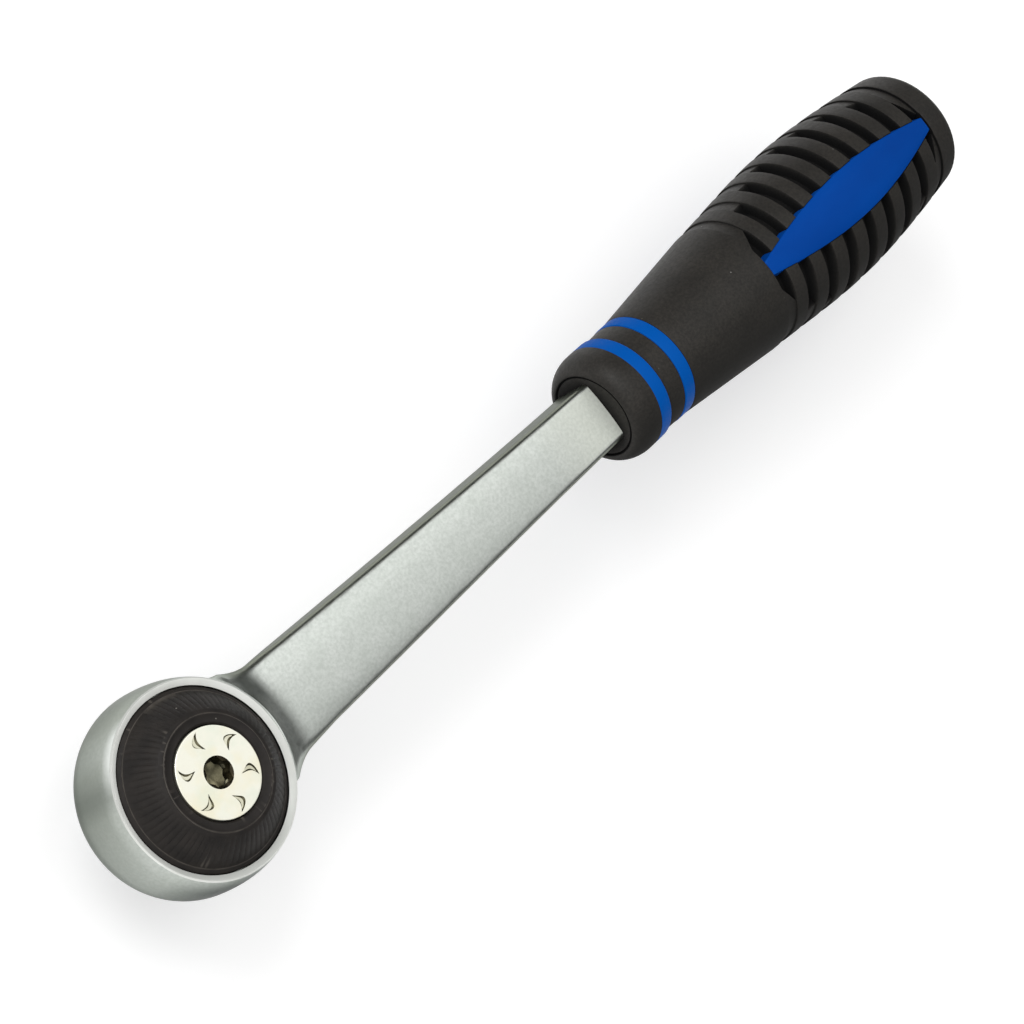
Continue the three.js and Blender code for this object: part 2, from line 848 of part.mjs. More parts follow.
const chrome = finish(0xc4c9c4, 0.9, 0.35);
const steel = finish(0x8d9092, 0.9, 0.45);
const zinc = finish(0xe6e4cf, 0.9, 0.35);
const springSteel = finish(0x9a9da0, 0.9, 0.4);
const brass = finish(0xb9974f, 0.9, 0.4);
const black = finish(0x2d2a26, 0.1, 0.55);
const softBlack = finish(0x363432, 0, 0.85);
const blue = finish(0x0a55a8, 0, 0.5);
const sealBlack = finish(0x1c1c1c, 0, 0.8);

const group = new THREE.Group();

function place(name, piece, material) {
  const shape = piece.getMesh();
  const geometry = new THREE.BufferGeometry();
  geometry.setAttribute('position', new THREE.Float32BufferAttribute(shape.vertProperties, 3));
  geometry.setIndex(new THREE.BufferAttribute(shape.triVerts, 1));
  geometry.computeVertexNormals();
  const mesh = new THREE.Mesh(geometry, material);
  mesh.name = name;
  group.add(mesh);
}

const [detentX, detentY] = polar(detentOrbit, detentAngle);
const washerInner = spindleRadius + runningGap + 0.3;
const washerOuter = discRadius;

place('head_housing', headHousing(), chrome);
place('thrust_washer', washer(washerInner, washerOuter, floorTop, floorTop + washerThickness), brass);
place('snap_ring', snapRing(), springSteel);
place('drive_core', driveCore(), steel);
place('spindle_seal', spindleSeal(), sealBlack);
place('socket_ball', ball(ballRadius, 0, -ballCentre, ballHeight), chrome);
place('socket_ball_spring', socketSpring(), springSteel);
place('pawl_left', engagedPawl, steel);
place('pawl_right', drawnPawl, steel);
place('pawl_spring_left', pawlSpring(0), springSteel);
place('pawl_spring_right', halfTurn(pawlSpring(pawlTravel)), springSteel);
place('cam_plate', camPlate(), steel);
place('reversing_dial', reversingDial(), black);
place('wave_washer', waveWasher(), springSteel);
place('dial_screw', dialScrew(), zinc);
place('detent_ball', ball(detentRadius, detentX, detentY, detentCentre), chrome);
place('detent_spring', detentSpring(), springSteel);
place('grip_core', gripCore(), blue);
place('grip_nose', gripNose(), softBlack);
place('grip_band', gripBand(), softBlack);
place('grip_sleeve', gripSleeve(), softBlack);

export default group;
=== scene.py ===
"""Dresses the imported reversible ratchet: fine meshes for what shows, and a finish for every piece."""

import itertools
import logging
import math
from dataclasses import dataclass
from enum import Enum
from typing import Callable, Sequence

import bmesh
import bpy
import numpy as np
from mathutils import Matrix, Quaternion, Vector

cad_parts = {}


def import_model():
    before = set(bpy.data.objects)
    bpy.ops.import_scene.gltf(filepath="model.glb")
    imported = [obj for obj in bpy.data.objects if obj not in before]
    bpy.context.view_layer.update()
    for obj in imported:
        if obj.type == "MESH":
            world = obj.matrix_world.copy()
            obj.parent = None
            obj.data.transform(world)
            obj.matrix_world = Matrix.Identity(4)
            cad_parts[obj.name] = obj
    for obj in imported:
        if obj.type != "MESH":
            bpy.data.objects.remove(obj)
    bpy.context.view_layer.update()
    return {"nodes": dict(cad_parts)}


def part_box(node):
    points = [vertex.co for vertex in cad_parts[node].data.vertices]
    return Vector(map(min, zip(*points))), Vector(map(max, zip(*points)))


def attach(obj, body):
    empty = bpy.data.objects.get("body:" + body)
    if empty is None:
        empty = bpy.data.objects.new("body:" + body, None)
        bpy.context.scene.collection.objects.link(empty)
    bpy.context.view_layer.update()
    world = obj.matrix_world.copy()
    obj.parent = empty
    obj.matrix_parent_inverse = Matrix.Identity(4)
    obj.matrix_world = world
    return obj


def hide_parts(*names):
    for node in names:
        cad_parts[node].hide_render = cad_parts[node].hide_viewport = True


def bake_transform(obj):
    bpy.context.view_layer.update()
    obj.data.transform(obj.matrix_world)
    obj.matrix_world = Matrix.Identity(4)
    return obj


LOG = logging.getLogger("ratchet")
MILLIMETRE = 0.001
AXIS_HEIGHT = 32.3
RIM_HEIGHT = 35.35
HOLLOW_SAMPLES = 8

Colour = tuple[float, float, float]
Point = tuple[float, float, float]
Corner = tuple[float, float, float]
Pair = tuple[float, float]
Profile = list[Pair]
Socket = bpy.types.NodeSocket
Tree = bpy.types.NodeTree
Finish = bpy.types.Material
Piece = bpy.types.Object
Distance = Callable[[np.ndarray], np.ndarray]


class Slot(Enum):
    """The record's material slots."""

    CHROME = "satin_chrome"
    TOOL_STEEL = "tool_steel"
    SPRING_STEEL = "spring_steel"
    BRIGHT_BALL = "bright_ball"
    BRASS = "washer_brass"
    DIAL_BLACK = "dial_black"
    ZINC = "screw_zinc"
    SEAL = "seal_rubber"
    SOFT_BLACK = "grip_soft_black"
    BLUE = "grip_blue"


class Body(Enum):
    """The bodies that pieces move with."""

    HANDLE = "body"
    DRIVE = "drive"
    DIAL = "dial"
    CATCH = "socket_catch"
    LEFT_PAWL = "left_pawl"
    RIGHT_PAWL = "right_pawl"
    CLICK = "dial_detent"


class Turn(Enum):
    """The line that a turned piece is round about."""

    DRIVE_AXIS = "drive"
    HANDLE_AXIS = "handle"


def screen(red: float, green: float, blue: float) -> Colour:
    """Turns a colour as a screen shows it into the linear values that shaders take.

    Args:
        red: Red from 0 to 255.
        green: Green from 0 to 255.
        blue: Blue from 0 to 255.

    Returns:
        The linear colour.
    """
    def linear(level: float) -> float:
        """Gives the linear value of one channel."""
        share = level / 255
        return share / 12.92 if share <= 0.04045 else ((share + 0.055) / 1.055) ** 2.4

    return linear(red), linear(green), linear(blue)


def mapped(tree: Tree, source: Socket, ends: Pair, levels: Pair, gentle: bool = False) -> Socket:
    """Adds a node that maps a value from one range to another and keeps it inside.

    Args:
        tree: The node tree.
        source: The value.
        ends: Start and end of its range.
        levels: What the start and the end become.
        gentle: Whether the change starts and ends softly.

    Returns:
        The new value.
    """
    node = tree.nodes.new("ShaderNodeMapRange")
    if gentle:
        node.interpolation_type = "SMOOTHSTEP"
    for name, number in zip(("From Min", "From Max", "To Min", "To Max"), (*ends, *levels)):
        node.inputs[name].default_value = number
    tree.links.new(source, node.inputs["Value"])
    return node.outputs["Result"]


def combined(tree: Tree, operation: str, *values: Socket) -> Socket:
    """Adds nodes that join values one after the other.

    Args:
        tree: The node tree.
        operation: How two values are joined, such as MULTIPLY.
        *values: The values.

    Returns:
        The joined value.
    """
    total = values[0]
    for value in values[1:]:
        node = tree.nodes.new("ShaderNodeMath")
        node.operation = operation
        tree.links.new(total, node.inputs[0])
        tree.links.new(value, node.inputs[1])
        total = node.outputs[0]
    return total


def seen_rays(tree: Tree) -> Socket:
    """Adds nodes that tell whether a ray comes from the camera, a reflection or glass.

    Args:
        tree: The node tree.

    Returns:
        One for such a ray and zero for others.
    """
    rays = tree.nodes.new("ShaderNodeLightPath")
    names = ("Is Camera Ray", "Is Glossy Ray", "Is Transmission Ray")
    return combined(tree, "MAXIMUM", *(rays.outputs[name] for name in names))


class Recipe:
    """Lays out the nodes of one material around its main shader."""

    def __init__(self, name: str) -> None:
        """Starts a material with its main shader and the piece's own coordinates.

        Args:
            name: The material's name.
        """
        self.material = bpy.data.materials.new(name)
        self.material.use_nodes = True
        self.tree = self.material.node_tree
        self.shader = self.tree.nodes["Principled BSDF"]
        coordinates = self.tree.nodes.new("ShaderNodeTexCoord")
        self.place = coordinates.outputs["Object"]
        self.facing = coordinates.outputs["Normal"]

    def set(self, **values: float | Colour) -> None:
        """Sets constant values on the main shader's own sockets.

        Args:
            **values: Socket names in lower case with underscores, and their values.
        """
        names = {socket.name.lower().replace(" ", "_"): socket for socket in self.shader.inputs}
        for name, value in values.items():
            socket = names[name]
            socket.default_value = (*value, 1.0) if isinstance(value, tuple) else value

    def feed(self, socket: str, source: Socket) -> None:
        """Links a node's output to a socket of the main shader."""
        self.tree.links.new(source, self.shader.inputs[socket])

    def noise(self, scale: float, detail: float = 2.0, roughness: float = 0.5) -> Socket:
        """Adds a cloud of noise.

        Args:
            scale: Clouds per metre.
            detail: How many finer layers it has.
            roughness: How strong the finer layers are.

        Returns:
            The noise's value.
        """
        node = self.tree.nodes.new("ShaderNodeTexNoise")
        node.inputs["Scale"].default_value = scale
        node.inputs["Detail"].default_value = detail
        node.inputs["Roughness"].default_value = roughness
        self.tree.links.new(self.place, node.inputs["Vector"])
        return node.outputs[0]

    def stretched_noise(self, stretch: Point, scale: float, detail: float = 2.0) -> Socket:
        """Adds noise drawn out along one direction, as brushing or turning leaves it.

        Args:
            stretch: How often the noise repeats along each axis, compared with the scale.
            scale: Streaks per metre.
            detail: How many finer layers it has.

        Returns:
            The noise's value.
        """
        mapping = self.tree.nodes.new("ShaderNodeMapping")
        mapping.inputs["Scale"].default_value = stretch
        self.tree.links.new(self.place, mapping.inputs["Vector"])
        source = self.noise(scale, detail)
        self.tree.links.new(mapping.outputs["Vector"], source.node.inputs["Vector"])
        return source

    def axis(self, source: Socket, name: str) -> Socket:
        """Takes one coordinate of a place or a direction.

        Args:
            source: The place or the direction.
            name: The axis.

        Returns:
            The coordinate.
        """
        node = self.tree.nodes.new("ShaderNodeSeparateXYZ")
        self.tree.links.new(source, node.inputs[0])
        return node.outputs[name]

    def size(self, source: Socket) -> Socket:
        """Drops a value's sign.

        Args:
            source: The value.

        Returns:
            The value without its sign.
        """
        node = self.tree.nodes.new("ShaderNodeMath")
        node.operation = "ABSOLUTE"
        self.tree.links.new(source, node.inputs[0])
        return node.outputs[0]

    def hollows(self, reach: float) -> Socket:
        """Finds narrow hollows, where little light comes in, for painting shade into them.

        Args:
            reach: How far away walls count, in metres.

        Returns:
            One deep inside a hollow and zero on open surfaces.
        """
        node = self.tree.nodes.new("ShaderNodeAmbientOcclusion")
        node.samples = HOLLOW_SAMPLES
        node.inputs["Distance"].default_value = reach
        return self.span(node.outputs["AO"], 0.55, 0.92, 1.0, 0.0)

    def ring(self, radius: float, half: float) -> Socket:
        """Finds a thin ring about the drive's axis.

        Args:
            radius: The ring's radius in metres.
            half: Half of its width.

        Returns:
            One inside the ring and zero outside.
        """
        flat = self.tree.nodes.new("ShaderNodeVectorMath")
        flat.operation = "MULTIPLY"
        flat.inputs[1].default_value = (1.0, 1.0, 0.0)
        self.tree.links.new(self.place, flat.inputs[0])
        reach = self.tree.nodes.new("ShaderNodeVectorMath")
        reach.operation = "LENGTH"
        self.tree.links.new(flat.outputs["Vector"], reach.inputs[0])
        off = self.tree.nodes.new("ShaderNodeMath")
        off.operation = "SUBTRACT"
        off.inputs[1].default_value = radius
        self.tree.links.new(reach.outputs["Value"], off.inputs[0])
        return self.span(self.size(off.outputs[0]), 0.5 * half, half, 1.0, 0.0)

    def dots(self, scale: float, size: float) -> Socket:
        """Adds scattered small dots.

        Args:
            scale: Cells per metre, each with one dot at most.
            size: The dots' size compared with a cell.

        Returns:
            One inside a dot and zero outside.
        """
        node = self.tree.nodes.new("ShaderNodeTexVoronoi")
        node.inputs["Scale"].default_value = scale
        self.tree.links.new(self.place, node.inputs["Vector"])
        return self.span(node.outputs["Distance"], 0.5 * size, size, 1.0, 0.0)

    def edges(self, low: float, high: float) -> Socket:
        """Finds outward edges, where wear starts at the pointiness low and is full at high."""
        node = self.tree.nodes.new("ShaderNodeNewGeometry")
        return self.span(node.outputs["Pointiness"], low, high, 0.0, 1.0)

    def span(self, source: Socket, low: float, high: float, to_low: float, to_high: float) -> Socket:
        """Maps a value from low and high to to_low and to_high, and keeps it between them."""
        return mapped(self.tree, source, (low, high), (to_low, to_high))

    def times(self, *values: Socket) -> Socket:
        """Multiplies values."""
        return combined(self.tree, "MULTIPLY", *values)

    def blend(self, amount: Socket, first: Colour | Socket, second: Colour | Socket) -> Socket:
        """Blends two colours.

        Args:
            amount: Zero for the first colour, one for the second.
            first: A colour or a node's output.
            second: A colour or a node's output.

        Returns:
            The blended colour.
        """
        node = self.tree.nodes.new("ShaderNodeMix")
        node.data_type = "RGBA"
        self.tree.links.new(amount, node.inputs[0])
        for socket, colour in zip((node.inputs[6], node.inputs[7]), (first, second)):
            if isinstance(colour, tuple):
                socket.default_value = (*colour, 1.0)
            else:
                self.tree.links.new(colour, socket)
        return node.outputs[2]

    def bump(self, height: Socket, strength: float, depth: float, over: Socket | None = None) -> Socket:
        """Roughens the surface.

        Args:
            height: The relief from zero to one.
            strength: How much of it shows.
            depth: Its depth in metres.
            over: A coarser relief that it lies on.

        Returns:
            The roughened surface direction.
        """
        node = self.tree.nodes.new("ShaderNodeBump")
        node.inputs["Strength"].default_value = strength
        node.inputs["Distance"].default_value = depth
        self.tree.links.new(height, node.inputs["Height"])
        if over is not None:
            self.tree.links.new(over, node.inputs["Normal"])
        return node.outputs["Normal"]


@dataclass(frozen=True)
class SatinChrome:
    """Blasted chrome plating with faint clouds and fine grain, with painted shade and a painted highlight
    by face direction on the bowl, the neck and the flanks on top of its own reflections, and a painted
    pale top near the grip.
    """

    pale: Colour = screen(209, 213, 208)
    shade: Colour = screen(201, 206, 200)
    grain: Colour = screen(174, 180, 173)
    # From here to the corner colour: painted shade for the flanks, the underside, a band on the bowl, the
    # neck's root, the faces turned towards -Y, the bowl's front and the shank's edge, and a near-white
    # painted highlight under the rim.
    painted_flank_shade: Colour = screen(140, 144, 132)
    under: Colour = screen(92, 97, 91)
    away: Colour = screen(58, 62, 64)
    painted_highlight: Colour = screen(236, 239, 236)
    bowl: Colour = screen(134, 139, 131)
    corner: Colour = screen(144, 148, 138)
    # The next two colours are a painted pale top near the grip: painted brightness in place of its darker
    # reflection.
    end: Colour = screen(210, 214, 205)
    end_grain: Colour = screen(184, 189, 179)
    tint: Colour = (0.5, 0.51, 0.5)
    bowl_start: float = -0.008
    root_start: float = 0.0178
    root_full: float = 0.0195
    shank_start: float = 0.022
    root_end: float = 0.0245
    end_start: float = 0.104
    end_full: float = 0.117

    def tones(self, recipe: Recipe) -> list[tuple[Socket, Colour]]:
        """Finds where painted shade and a painted highlight go on the plating, by face direction.

        Args:
            recipe: The material's nodes.

        Returns:
            Amounts and the colours that they blend in, from the first to the last.
        """
        onward = recipe.axis(recipe.place, "X")
        across = recipe.axis(recipe.facing, "Y")
        upward = recipe.axis(recipe.facing, "Z")
        on_bowl = recipe.span(onward, self.bowl_start, 0.0, 1, 0)
        on_shank = recipe.span(onward, 0.7 * self.shank_start, self.shank_start, 0, 1)
        flanks = recipe.times(on_shank, recipe.span(recipe.size(across), 0.45, 0.8, 0, 1))
        front = recipe.times(
            on_bowl,
            recipe.span(across, -0.35, 0.35, 0.4, 0.85),
            recipe.span(across, 0.66, 0.88, 1, 0.4),
            recipe.span(upward, 0.16, 0.42, 1, 0),
        )
        band = recipe.times(
            on_bowl,
            recipe.span(across, 0.3, 0.45, 0, 0.45),
            recipe.span(across, 0.52, 0.66, 1, 0),
            recipe.span(upward, 0.2, 0.45, 1, 0),
        )
        # Painted highlight: a near-white band just under the rim on the faces turned towards -X and +Y.
        highlight_under_rim = recipe.times(
            on_bowl,
            recipe.span(upward, 0.2, 0.32, 0, 1),
            recipe.span(across, 0.45, 0.72, 0, 1),
            recipe.span(across, 0.84, 0.93, 1, 0),
        )
        right = recipe.times(
            recipe.span(across, -0.95, -0.5, 0.95, 0),
            recipe.span(upward, 0.1, 0.34, 1, 0.15),
        )
        below = recipe.times(
            recipe.span(upward, -0.3, 0.22, 0.75, 0),
            recipe.span(on_bowl, 0, 1, 1, 0.5),
        )
        root = recipe.times(
            recipe.span(onward, self.root_start, self.root_full, 0, 0.6),
            recipe.span(onward, self.shank_start, self.root_end, 1, 0),
            recipe.span(recipe.axis(recipe.place, "Y"), 0.0, 0.005, 0, 1),
            recipe.span(upward, 0.3, 0.6, 0, 1),
        )
        edge = recipe.times(
            on_shank,
            recipe.span(across, 0.4, 0.55, 0, 1),
            recipe.span(across, 0.66, 0.8, 1, 0),
        )
        # Painted shade and a painted highlight, placed by face direction on top of the shader's own
        # reflections.
        return [
            (recipe.span(across, 0.78, 0.93, 0, 0.5), self.painted_flank_shade),
            (flanks, self.painted_flank_shade),
            (front, self.bowl),
            (band, self.under),
            (highlight_under_rim, self.painted_highlight),
            (right, self.away),
            (below, self.under),
            (root, self.under),
            (edge, self.corner),
        ]

    def make(self) -> Finish:
        """Builds the material.

        Returns:
            The material.
        """
        recipe = Recipe(Slot.CHROME.value)
        clouds = recipe.span(recipe.noise(140, 5, 0.6), 0.3, 0.7, 0, 1)
        mottle = recipe.span(recipe.noise(1500, 3, 0.6), 0.35, 0.65, 0, 0.5)
        colour = recipe.blend(mottle, recipe.blend(clouds, self.shade, self.pale), self.grain)
        # Blends the painted shade and the painted highlight into the plating's colour.
        for amount, tone in self.tones(recipe):
            colour = recipe.blend(amount, colour, tone)
        # Painted brightness near the grip: the shank's top there gets a pale colour and almost no metal.
        near_grip = recipe.span(recipe.axis(recipe.place, "X"), self.end_start, self.end_full, 0, 1)
        painted_pale_end = recipe.times(near_grip, recipe.span(recipe.axis(recipe.facing, "Z"), 0.93, 0.99, 0, 1))
        painted_pale_end_colour = recipe.blend(mottle, self.end, self.end_grain)
        recipe.feed("Base Color", recipe.blend(painted_pale_end, colour, painted_pale_end_colour))
        recipe.feed("Metallic", recipe.span(painted_pale_end, 0, 1, 1, 0.1))
        recipe.feed("Roughness", recipe.span(recipe.noise(900, 3), 0.3, 0.7, 0.28, 0.36))
        swells = recipe.bump(recipe.noise(260, 2), 0.08, 0.0002)
        recipe.feed("Normal", recipe.bump(recipe.noise(4200, 3), 0.1, 0.00003, swells))
        recipe.set(specular_tint=self.tint)
        return recipe.material


@dataclass(frozen=True)
class MachinedLand:
    """Bright turned chrome on the head's rim, with fine rings from the tool and painted shade on the faces
    turned towards +Y.
    """

    pale: Colour = screen(246, 247, 242)
    shade: Colour = screen(234, 236, 230)
    pale_painted_shade: Colour = screen(200, 202, 197)

    def make(self) -> Finish:
        """Builds the material.

        Returns:
            The material.
        """
        recipe = Recipe("machined_land")
        clouds = recipe.span(recipe.noise(200, 4), 0.3, 0.7, 0, 1)
        # Painted shade: the faces turned towards +Y, which the key lamp lights most, get a darker colour.
        wear_and_painted_light = recipe.span(recipe.axis(recipe.facing, "Y"), -0.2, 0.25, 0, 1)
        plated = recipe.blend(clouds, self.shade, self.pale)
        recipe.feed("Base Color", recipe.blend(wear_and_painted_light, plated, self.pale_painted_shade))
        rings = recipe.stretched_noise((1.0, 1.0, 0.1), 900, 2)
        recipe.feed("Roughness", recipe.span(rings, 0.3, 0.7, 0.34, 0.44))
        recipe.feed("Normal", recipe.bump(rings, 0.02, 0.00003))
        recipe.set(metallic=0.15, specular_ior_level=0.3)
        return recipe.material


@dataclass(frozen=True)
class PaintedShadeZinc:
    """The screw's hollows: the plating darkened with painted shade."""

    name: str
    deep: Colour
    pale: Colour

    def make(self) -> Finish:
        """Builds the material.

        Returns:
            The material.
        """
        recipe = Recipe(self.name)
        clouds = recipe.span(recipe.noise(420, 3, 0.5), 0.35, 0.65, 0, 1)
        recipe.feed("Base Color", recipe.blend(clouds, self.deep, self.pale))
        recipe.feed("Roughness", recipe.span(recipe.noise(1500, 2), 0.3, 0.7, 0.22, 0.4))
        recipe.feed("Normal", recipe.bump(recipe.noise(1800, 2), 0.08, 0.00003))
        recipe.set(metallic=0.9)
        return recipe.material


@dataclass(frozen=True)
class GroundSteel:
    """Plain tool steel with fine grinding streaks and a thin film of oil."""

    slot: Slot
    pale: Colour
    shade: Colour
    streak: Point = (1.0, 1.0, 14.0)
    gloss_low: float = 0.22
    gloss_high: float = 0.36
    wear_and_painted_light: Colour = screen(225, 226, 226)

    def make(self) -> Finish:
        """Builds the material.

        Returns:
            The material.
        """
        recipe = Recipe(self.slot.value)
        streaks = recipe.stretched_noise(self.streak, 420, 3)
        clouds = recipe.span(recipe.noise(180, 4), 0.3, 0.7, 0, 1)
        colour = recipe.blend(clouds, self.shade, self.pale)
        colour = recipe.blend(recipe.edges(0.53, 0.62), colour, self.wear_and_painted_light)
        recipe.feed("Base Color", colour)
        recipe.feed("Roughness", recipe.span(streaks, 0.3, 0.7, self.gloss_low, self.gloss_high))
        recipe.feed("Normal", recipe.bump(streaks, 0.2, 0.00003))
        recipe.set(metallic=1.0)
        return recipe.material


@dataclass(frozen=True)
class BlackDial:
    """Satin brownish black moulding, paler on its ridge crests and on two thin rings at its edges."""

    deep: Colour = screen(27, 24, 22)
    pale: Colour = screen(37, 33, 30)
    wear_and_painted_light: Colour = screen(84, 79, 73)
    lint: Colour = screen(150, 146, 138)
    worn_rings: tuple[Pair, ...] = ((0.01124, 0.00016), (0.01684, 0.00012))

    def make(self) -> Finish:
        """Builds the material.

        Returns:
            The material.
        """
        recipe = Recipe(Slot.DIAL_BLACK.value)
        clouds = recipe.span(recipe.noise(300, 4), 0.35, 0.65, 0, 1)
        colour = recipe.blend(clouds, self.deep, self.pale)
        patchy = recipe.span(recipe.noise(420, 3), 0.3, 0.7, 0.3, 0.75)
        colour = recipe.blend(recipe.times(recipe.edges(0.53, 0.66), patchy), colour, self.wear_and_painted_light)
        for radius, half in self.worn_rings:
            colour = recipe.blend(recipe.times(recipe.ring(radius, half), patchy), colour, self.wear_and_painted_light)
        dust = recipe.times(recipe.dots(300, 0.05), recipe.span(recipe.noise(120), 0.5, 0.6, 0, 0.8))
        recipe.feed("Base Color", recipe.blend(dust, colour, self.lint))
        recipe.feed("Roughness", recipe.span(recipe.noise(1500, 2), 0.3, 0.7, 0.52, 0.62))
        recipe.feed("Normal", recipe.bump(recipe.noise(5200, 2), 0.15, 0.00003))
        recipe.set(specular_ior_level=0.26)
        return recipe.material


@dataclass(frozen=True)
class PaleZinc:
    """Pale zinc plating with the faint yellow and green clouds of its passivation."""

    pale: Colour = screen(246, 245, 230)
    yellow: Colour = screen(243, 235, 202)
    green: Colour = screen(230, 237, 220)

    def make(self) -> Finish:
        """Builds the material.

        Returns:
            The material.
        """
        recipe = Recipe(Slot.ZINC.value)
        warm = recipe.span(recipe.noise(150, 3, 0.5), 0.45, 0.75, 0, 0.9)
        cool = recipe.span(recipe.noise(190, 3, 0.5), 0.5, 0.8, 0, 0.8)
        colour = recipe.blend(cool, recipe.blend(warm, self.pale, self.yellow), self.green)
        recipe.feed("Base Color", colour)
        recipe.feed("Roughness", recipe.span(recipe.noise(900, 2), 0.3, 0.7, 0.28, 0.36))
        recipe.feed("Normal", recipe.bump(recipe.noise(420, 2), 0.05, 0.00006))
        recipe.set(metallic=0.9)
        return recipe.material


@dataclass(frozen=True)
class SoftBlack:
    """Matt black soft moulding with a fine grain, faint brown clouds and specks of dust, and painted shade
    in its grooves and on faces turned towards -Y.
    """

    slot: Slot = Slot.SOFT_BLACK
    deep: Colour = screen(39, 37, 34)
    pale: Colour = screen(50, 47, 43)
    grain: Colour = screen(20, 19, 17)
    right: Colour = screen(27, 26, 24)
    painted_groove_shade: Colour = screen(3, 3, 3)
    dust: Colour = screen(150, 150, 145)

    def make(self) -> Finish:
        """Builds the material.

        Returns:
            The material.
        """
        recipe = Recipe(self.slot.value)
        clouds = recipe.span(recipe.noise(120, 5, 0.6), 0.3, 0.7, 0, 1)
        colour = recipe.blend(clouds, self.deep, self.pale)
        speckle = recipe.span(recipe.noise(1700, 3, 0.6), 0.35, 0.65, 0, 0.55)
        colour = recipe.blend(speckle, colour, self.grain)
        lint = recipe.times(recipe.dots(240, 0.045), recipe.span(recipe.noise(90), 0.5, 0.62, 0, 0.9))
        colour = recipe.blend(lint, colour, self.dust)
        # Painted shade: near black in the grooves and other narrow hollows.
        deep = recipe.hollows(0.0045)
        across = recipe.axis(recipe.facing, "Y")
        # Painted shade: darker on the faces turned towards -Y.
        colour = recipe.blend(recipe.span(across, -0.8, -0.2, 0.9, 0), colour, self.right)
        recipe.feed("Base Color", recipe.blend(deep, colour, self.painted_groove_shade))
        gloss = recipe.times(recipe.span(across, -0.7, -0.1, 0.25, 1), recipe.span(deep, 0, 0.8, 1, 0.1))
        gloss = recipe.times(gloss, recipe.span(recipe.noise(1200, 2), 0.3, 0.7, 0.52, 0.42))
        recipe.feed("Roughness", recipe.span(gloss, 0, 1, 1, 0))
        recipe.set(specular_ior_level=0.26)
        swells = recipe.bump(recipe.noise(420, 2), 0.08, 0.0002)
        recipe.feed("Normal", recipe.bump(recipe.noise(3800, 3), 0.35, 0.00005, swells))
        return recipe.material


@dataclass(frozen=True)
class BlueMoulding:
    """Satin blue hard moulding with faint flow clouds and rubbed edges."""

    deep: Colour = screen(0, 62, 146)
    pale: Colour = screen(0, 68, 156)
    ring: Colour = screen(0, 84, 172)
    wear_and_painted_light: Colour = screen(4, 92, 190)
    ring_end: float = 0.145
    ring_fade: float = 0.01

    def make(self) -> Finish:
        """Builds the material.

        Returns:
            The material.
        """
        recipe = Recipe(Slot.BLUE.value)
        clouds = recipe.span(recipe.stretched_noise((0.4, 1.0, 1.0), 120, 3), 0.3, 0.7, 0, 1)
        colour = recipe.blend(clouds, self.deep, self.pale)
        onward = recipe.axis(recipe.place, "X")
        front = recipe.span(onward, self.ring_end, self.ring_end + self.ring_fade, 1, 0)
        colour = recipe.blend(front, colour, self.ring)
        recipe.feed("Base Color", recipe.blend(recipe.edges(0.54, 0.66), colour, self.wear_and_painted_light))
        recipe.feed("Roughness", recipe.span(recipe.noise(1500, 2), 0.3, 0.7, 0.46, 0.56))
        recipe.feed("Normal", recipe.bump(recipe.noise(4500, 2), 0.15, 0.00003))
        recipe.set(specular_ior_level=0.05)
        return recipe.material


def eased(corners: Sequence[Corner], steps: int = 4, closed: bool = False) -> Profile:
    """Rounds the corners of a profile.

    Args:
        corners: Two coordinates and a rounding for each corner.
        steps: Points along each rounding.
        closed: Whether the last corner joins the first.

    Returns:
        The rounded profile's points.
    """
    points: Profile = []
    sharpest = 0.05
    most = 0.49
    last = len(corners) - 1
    for index, (first, second, ease) in enumerate(corners):
        if ease <= 0 or (not closed and index in (0, last)):
            points.append((first, second))
            continue
        here = np.array((first, second))
        before = np.array(corners[index - 1][:2]) - here
        after = np.array(corners[(index + 1) % len(corners)][:2]) - here
        long_before = float(np.linalg.norm(before))
        long_after = float(np.linalg.norm(after))
        cosine = float(np.clip(before @ after / (long_before * long_after), -1, 1))
        reach = ease / max(math.tan(math.acos(cosine) / 2), sharpest)
        reach = min(reach, most * long_before, most * long_after)
        for part in np.linspace(0, 1, steps + 1):
            back = before / long_before * reach * (1 - part) ** 2
            ahead = after / long_after * reach * part ** 2
            points.append(tuple(here + back + ahead))
    return points


def smooth(low: float, high: float, value: np.ndarray) -> np.ndarray:
    """Rises gently from zero at low to one at high."""
    part = np.clip((value - low) / (high - low), 0, 1)
    return part * part * (3 - 2 * part)


def placed(name: str, data: bpy.types.ID) -> Piece:
    """Puts a mesh, a lamp or a camera into the scene.

    Args:
        name: The object's name.
        data: What it shows.

    Returns:
        The object.
    """
    thing = bpy.data.objects.new(name, data)
    bpy.context.scene.collection.objects.link(thing)
    return thing


def aim(thing: Piece, place: Point, target: Point, roll: float = 0.0) -> None:
    """Stands a lamp or a camera somewhere and turns it towards a point.

    Args:
        thing: The lamp or the camera.
        place: Where it stands.
        target: The point that it faces.
        roll: Its turn about the line of sight in degrees.
    """
    towards = (Vector(target) - Vector(place)).to_track_quat("-Z", "Y")
    thing.location = place
    thing.rotation_mode = "QUATERNION"
    thing.rotation_quaternion = towards @ Quaternion((0, 0, 1), math.radians(roll))


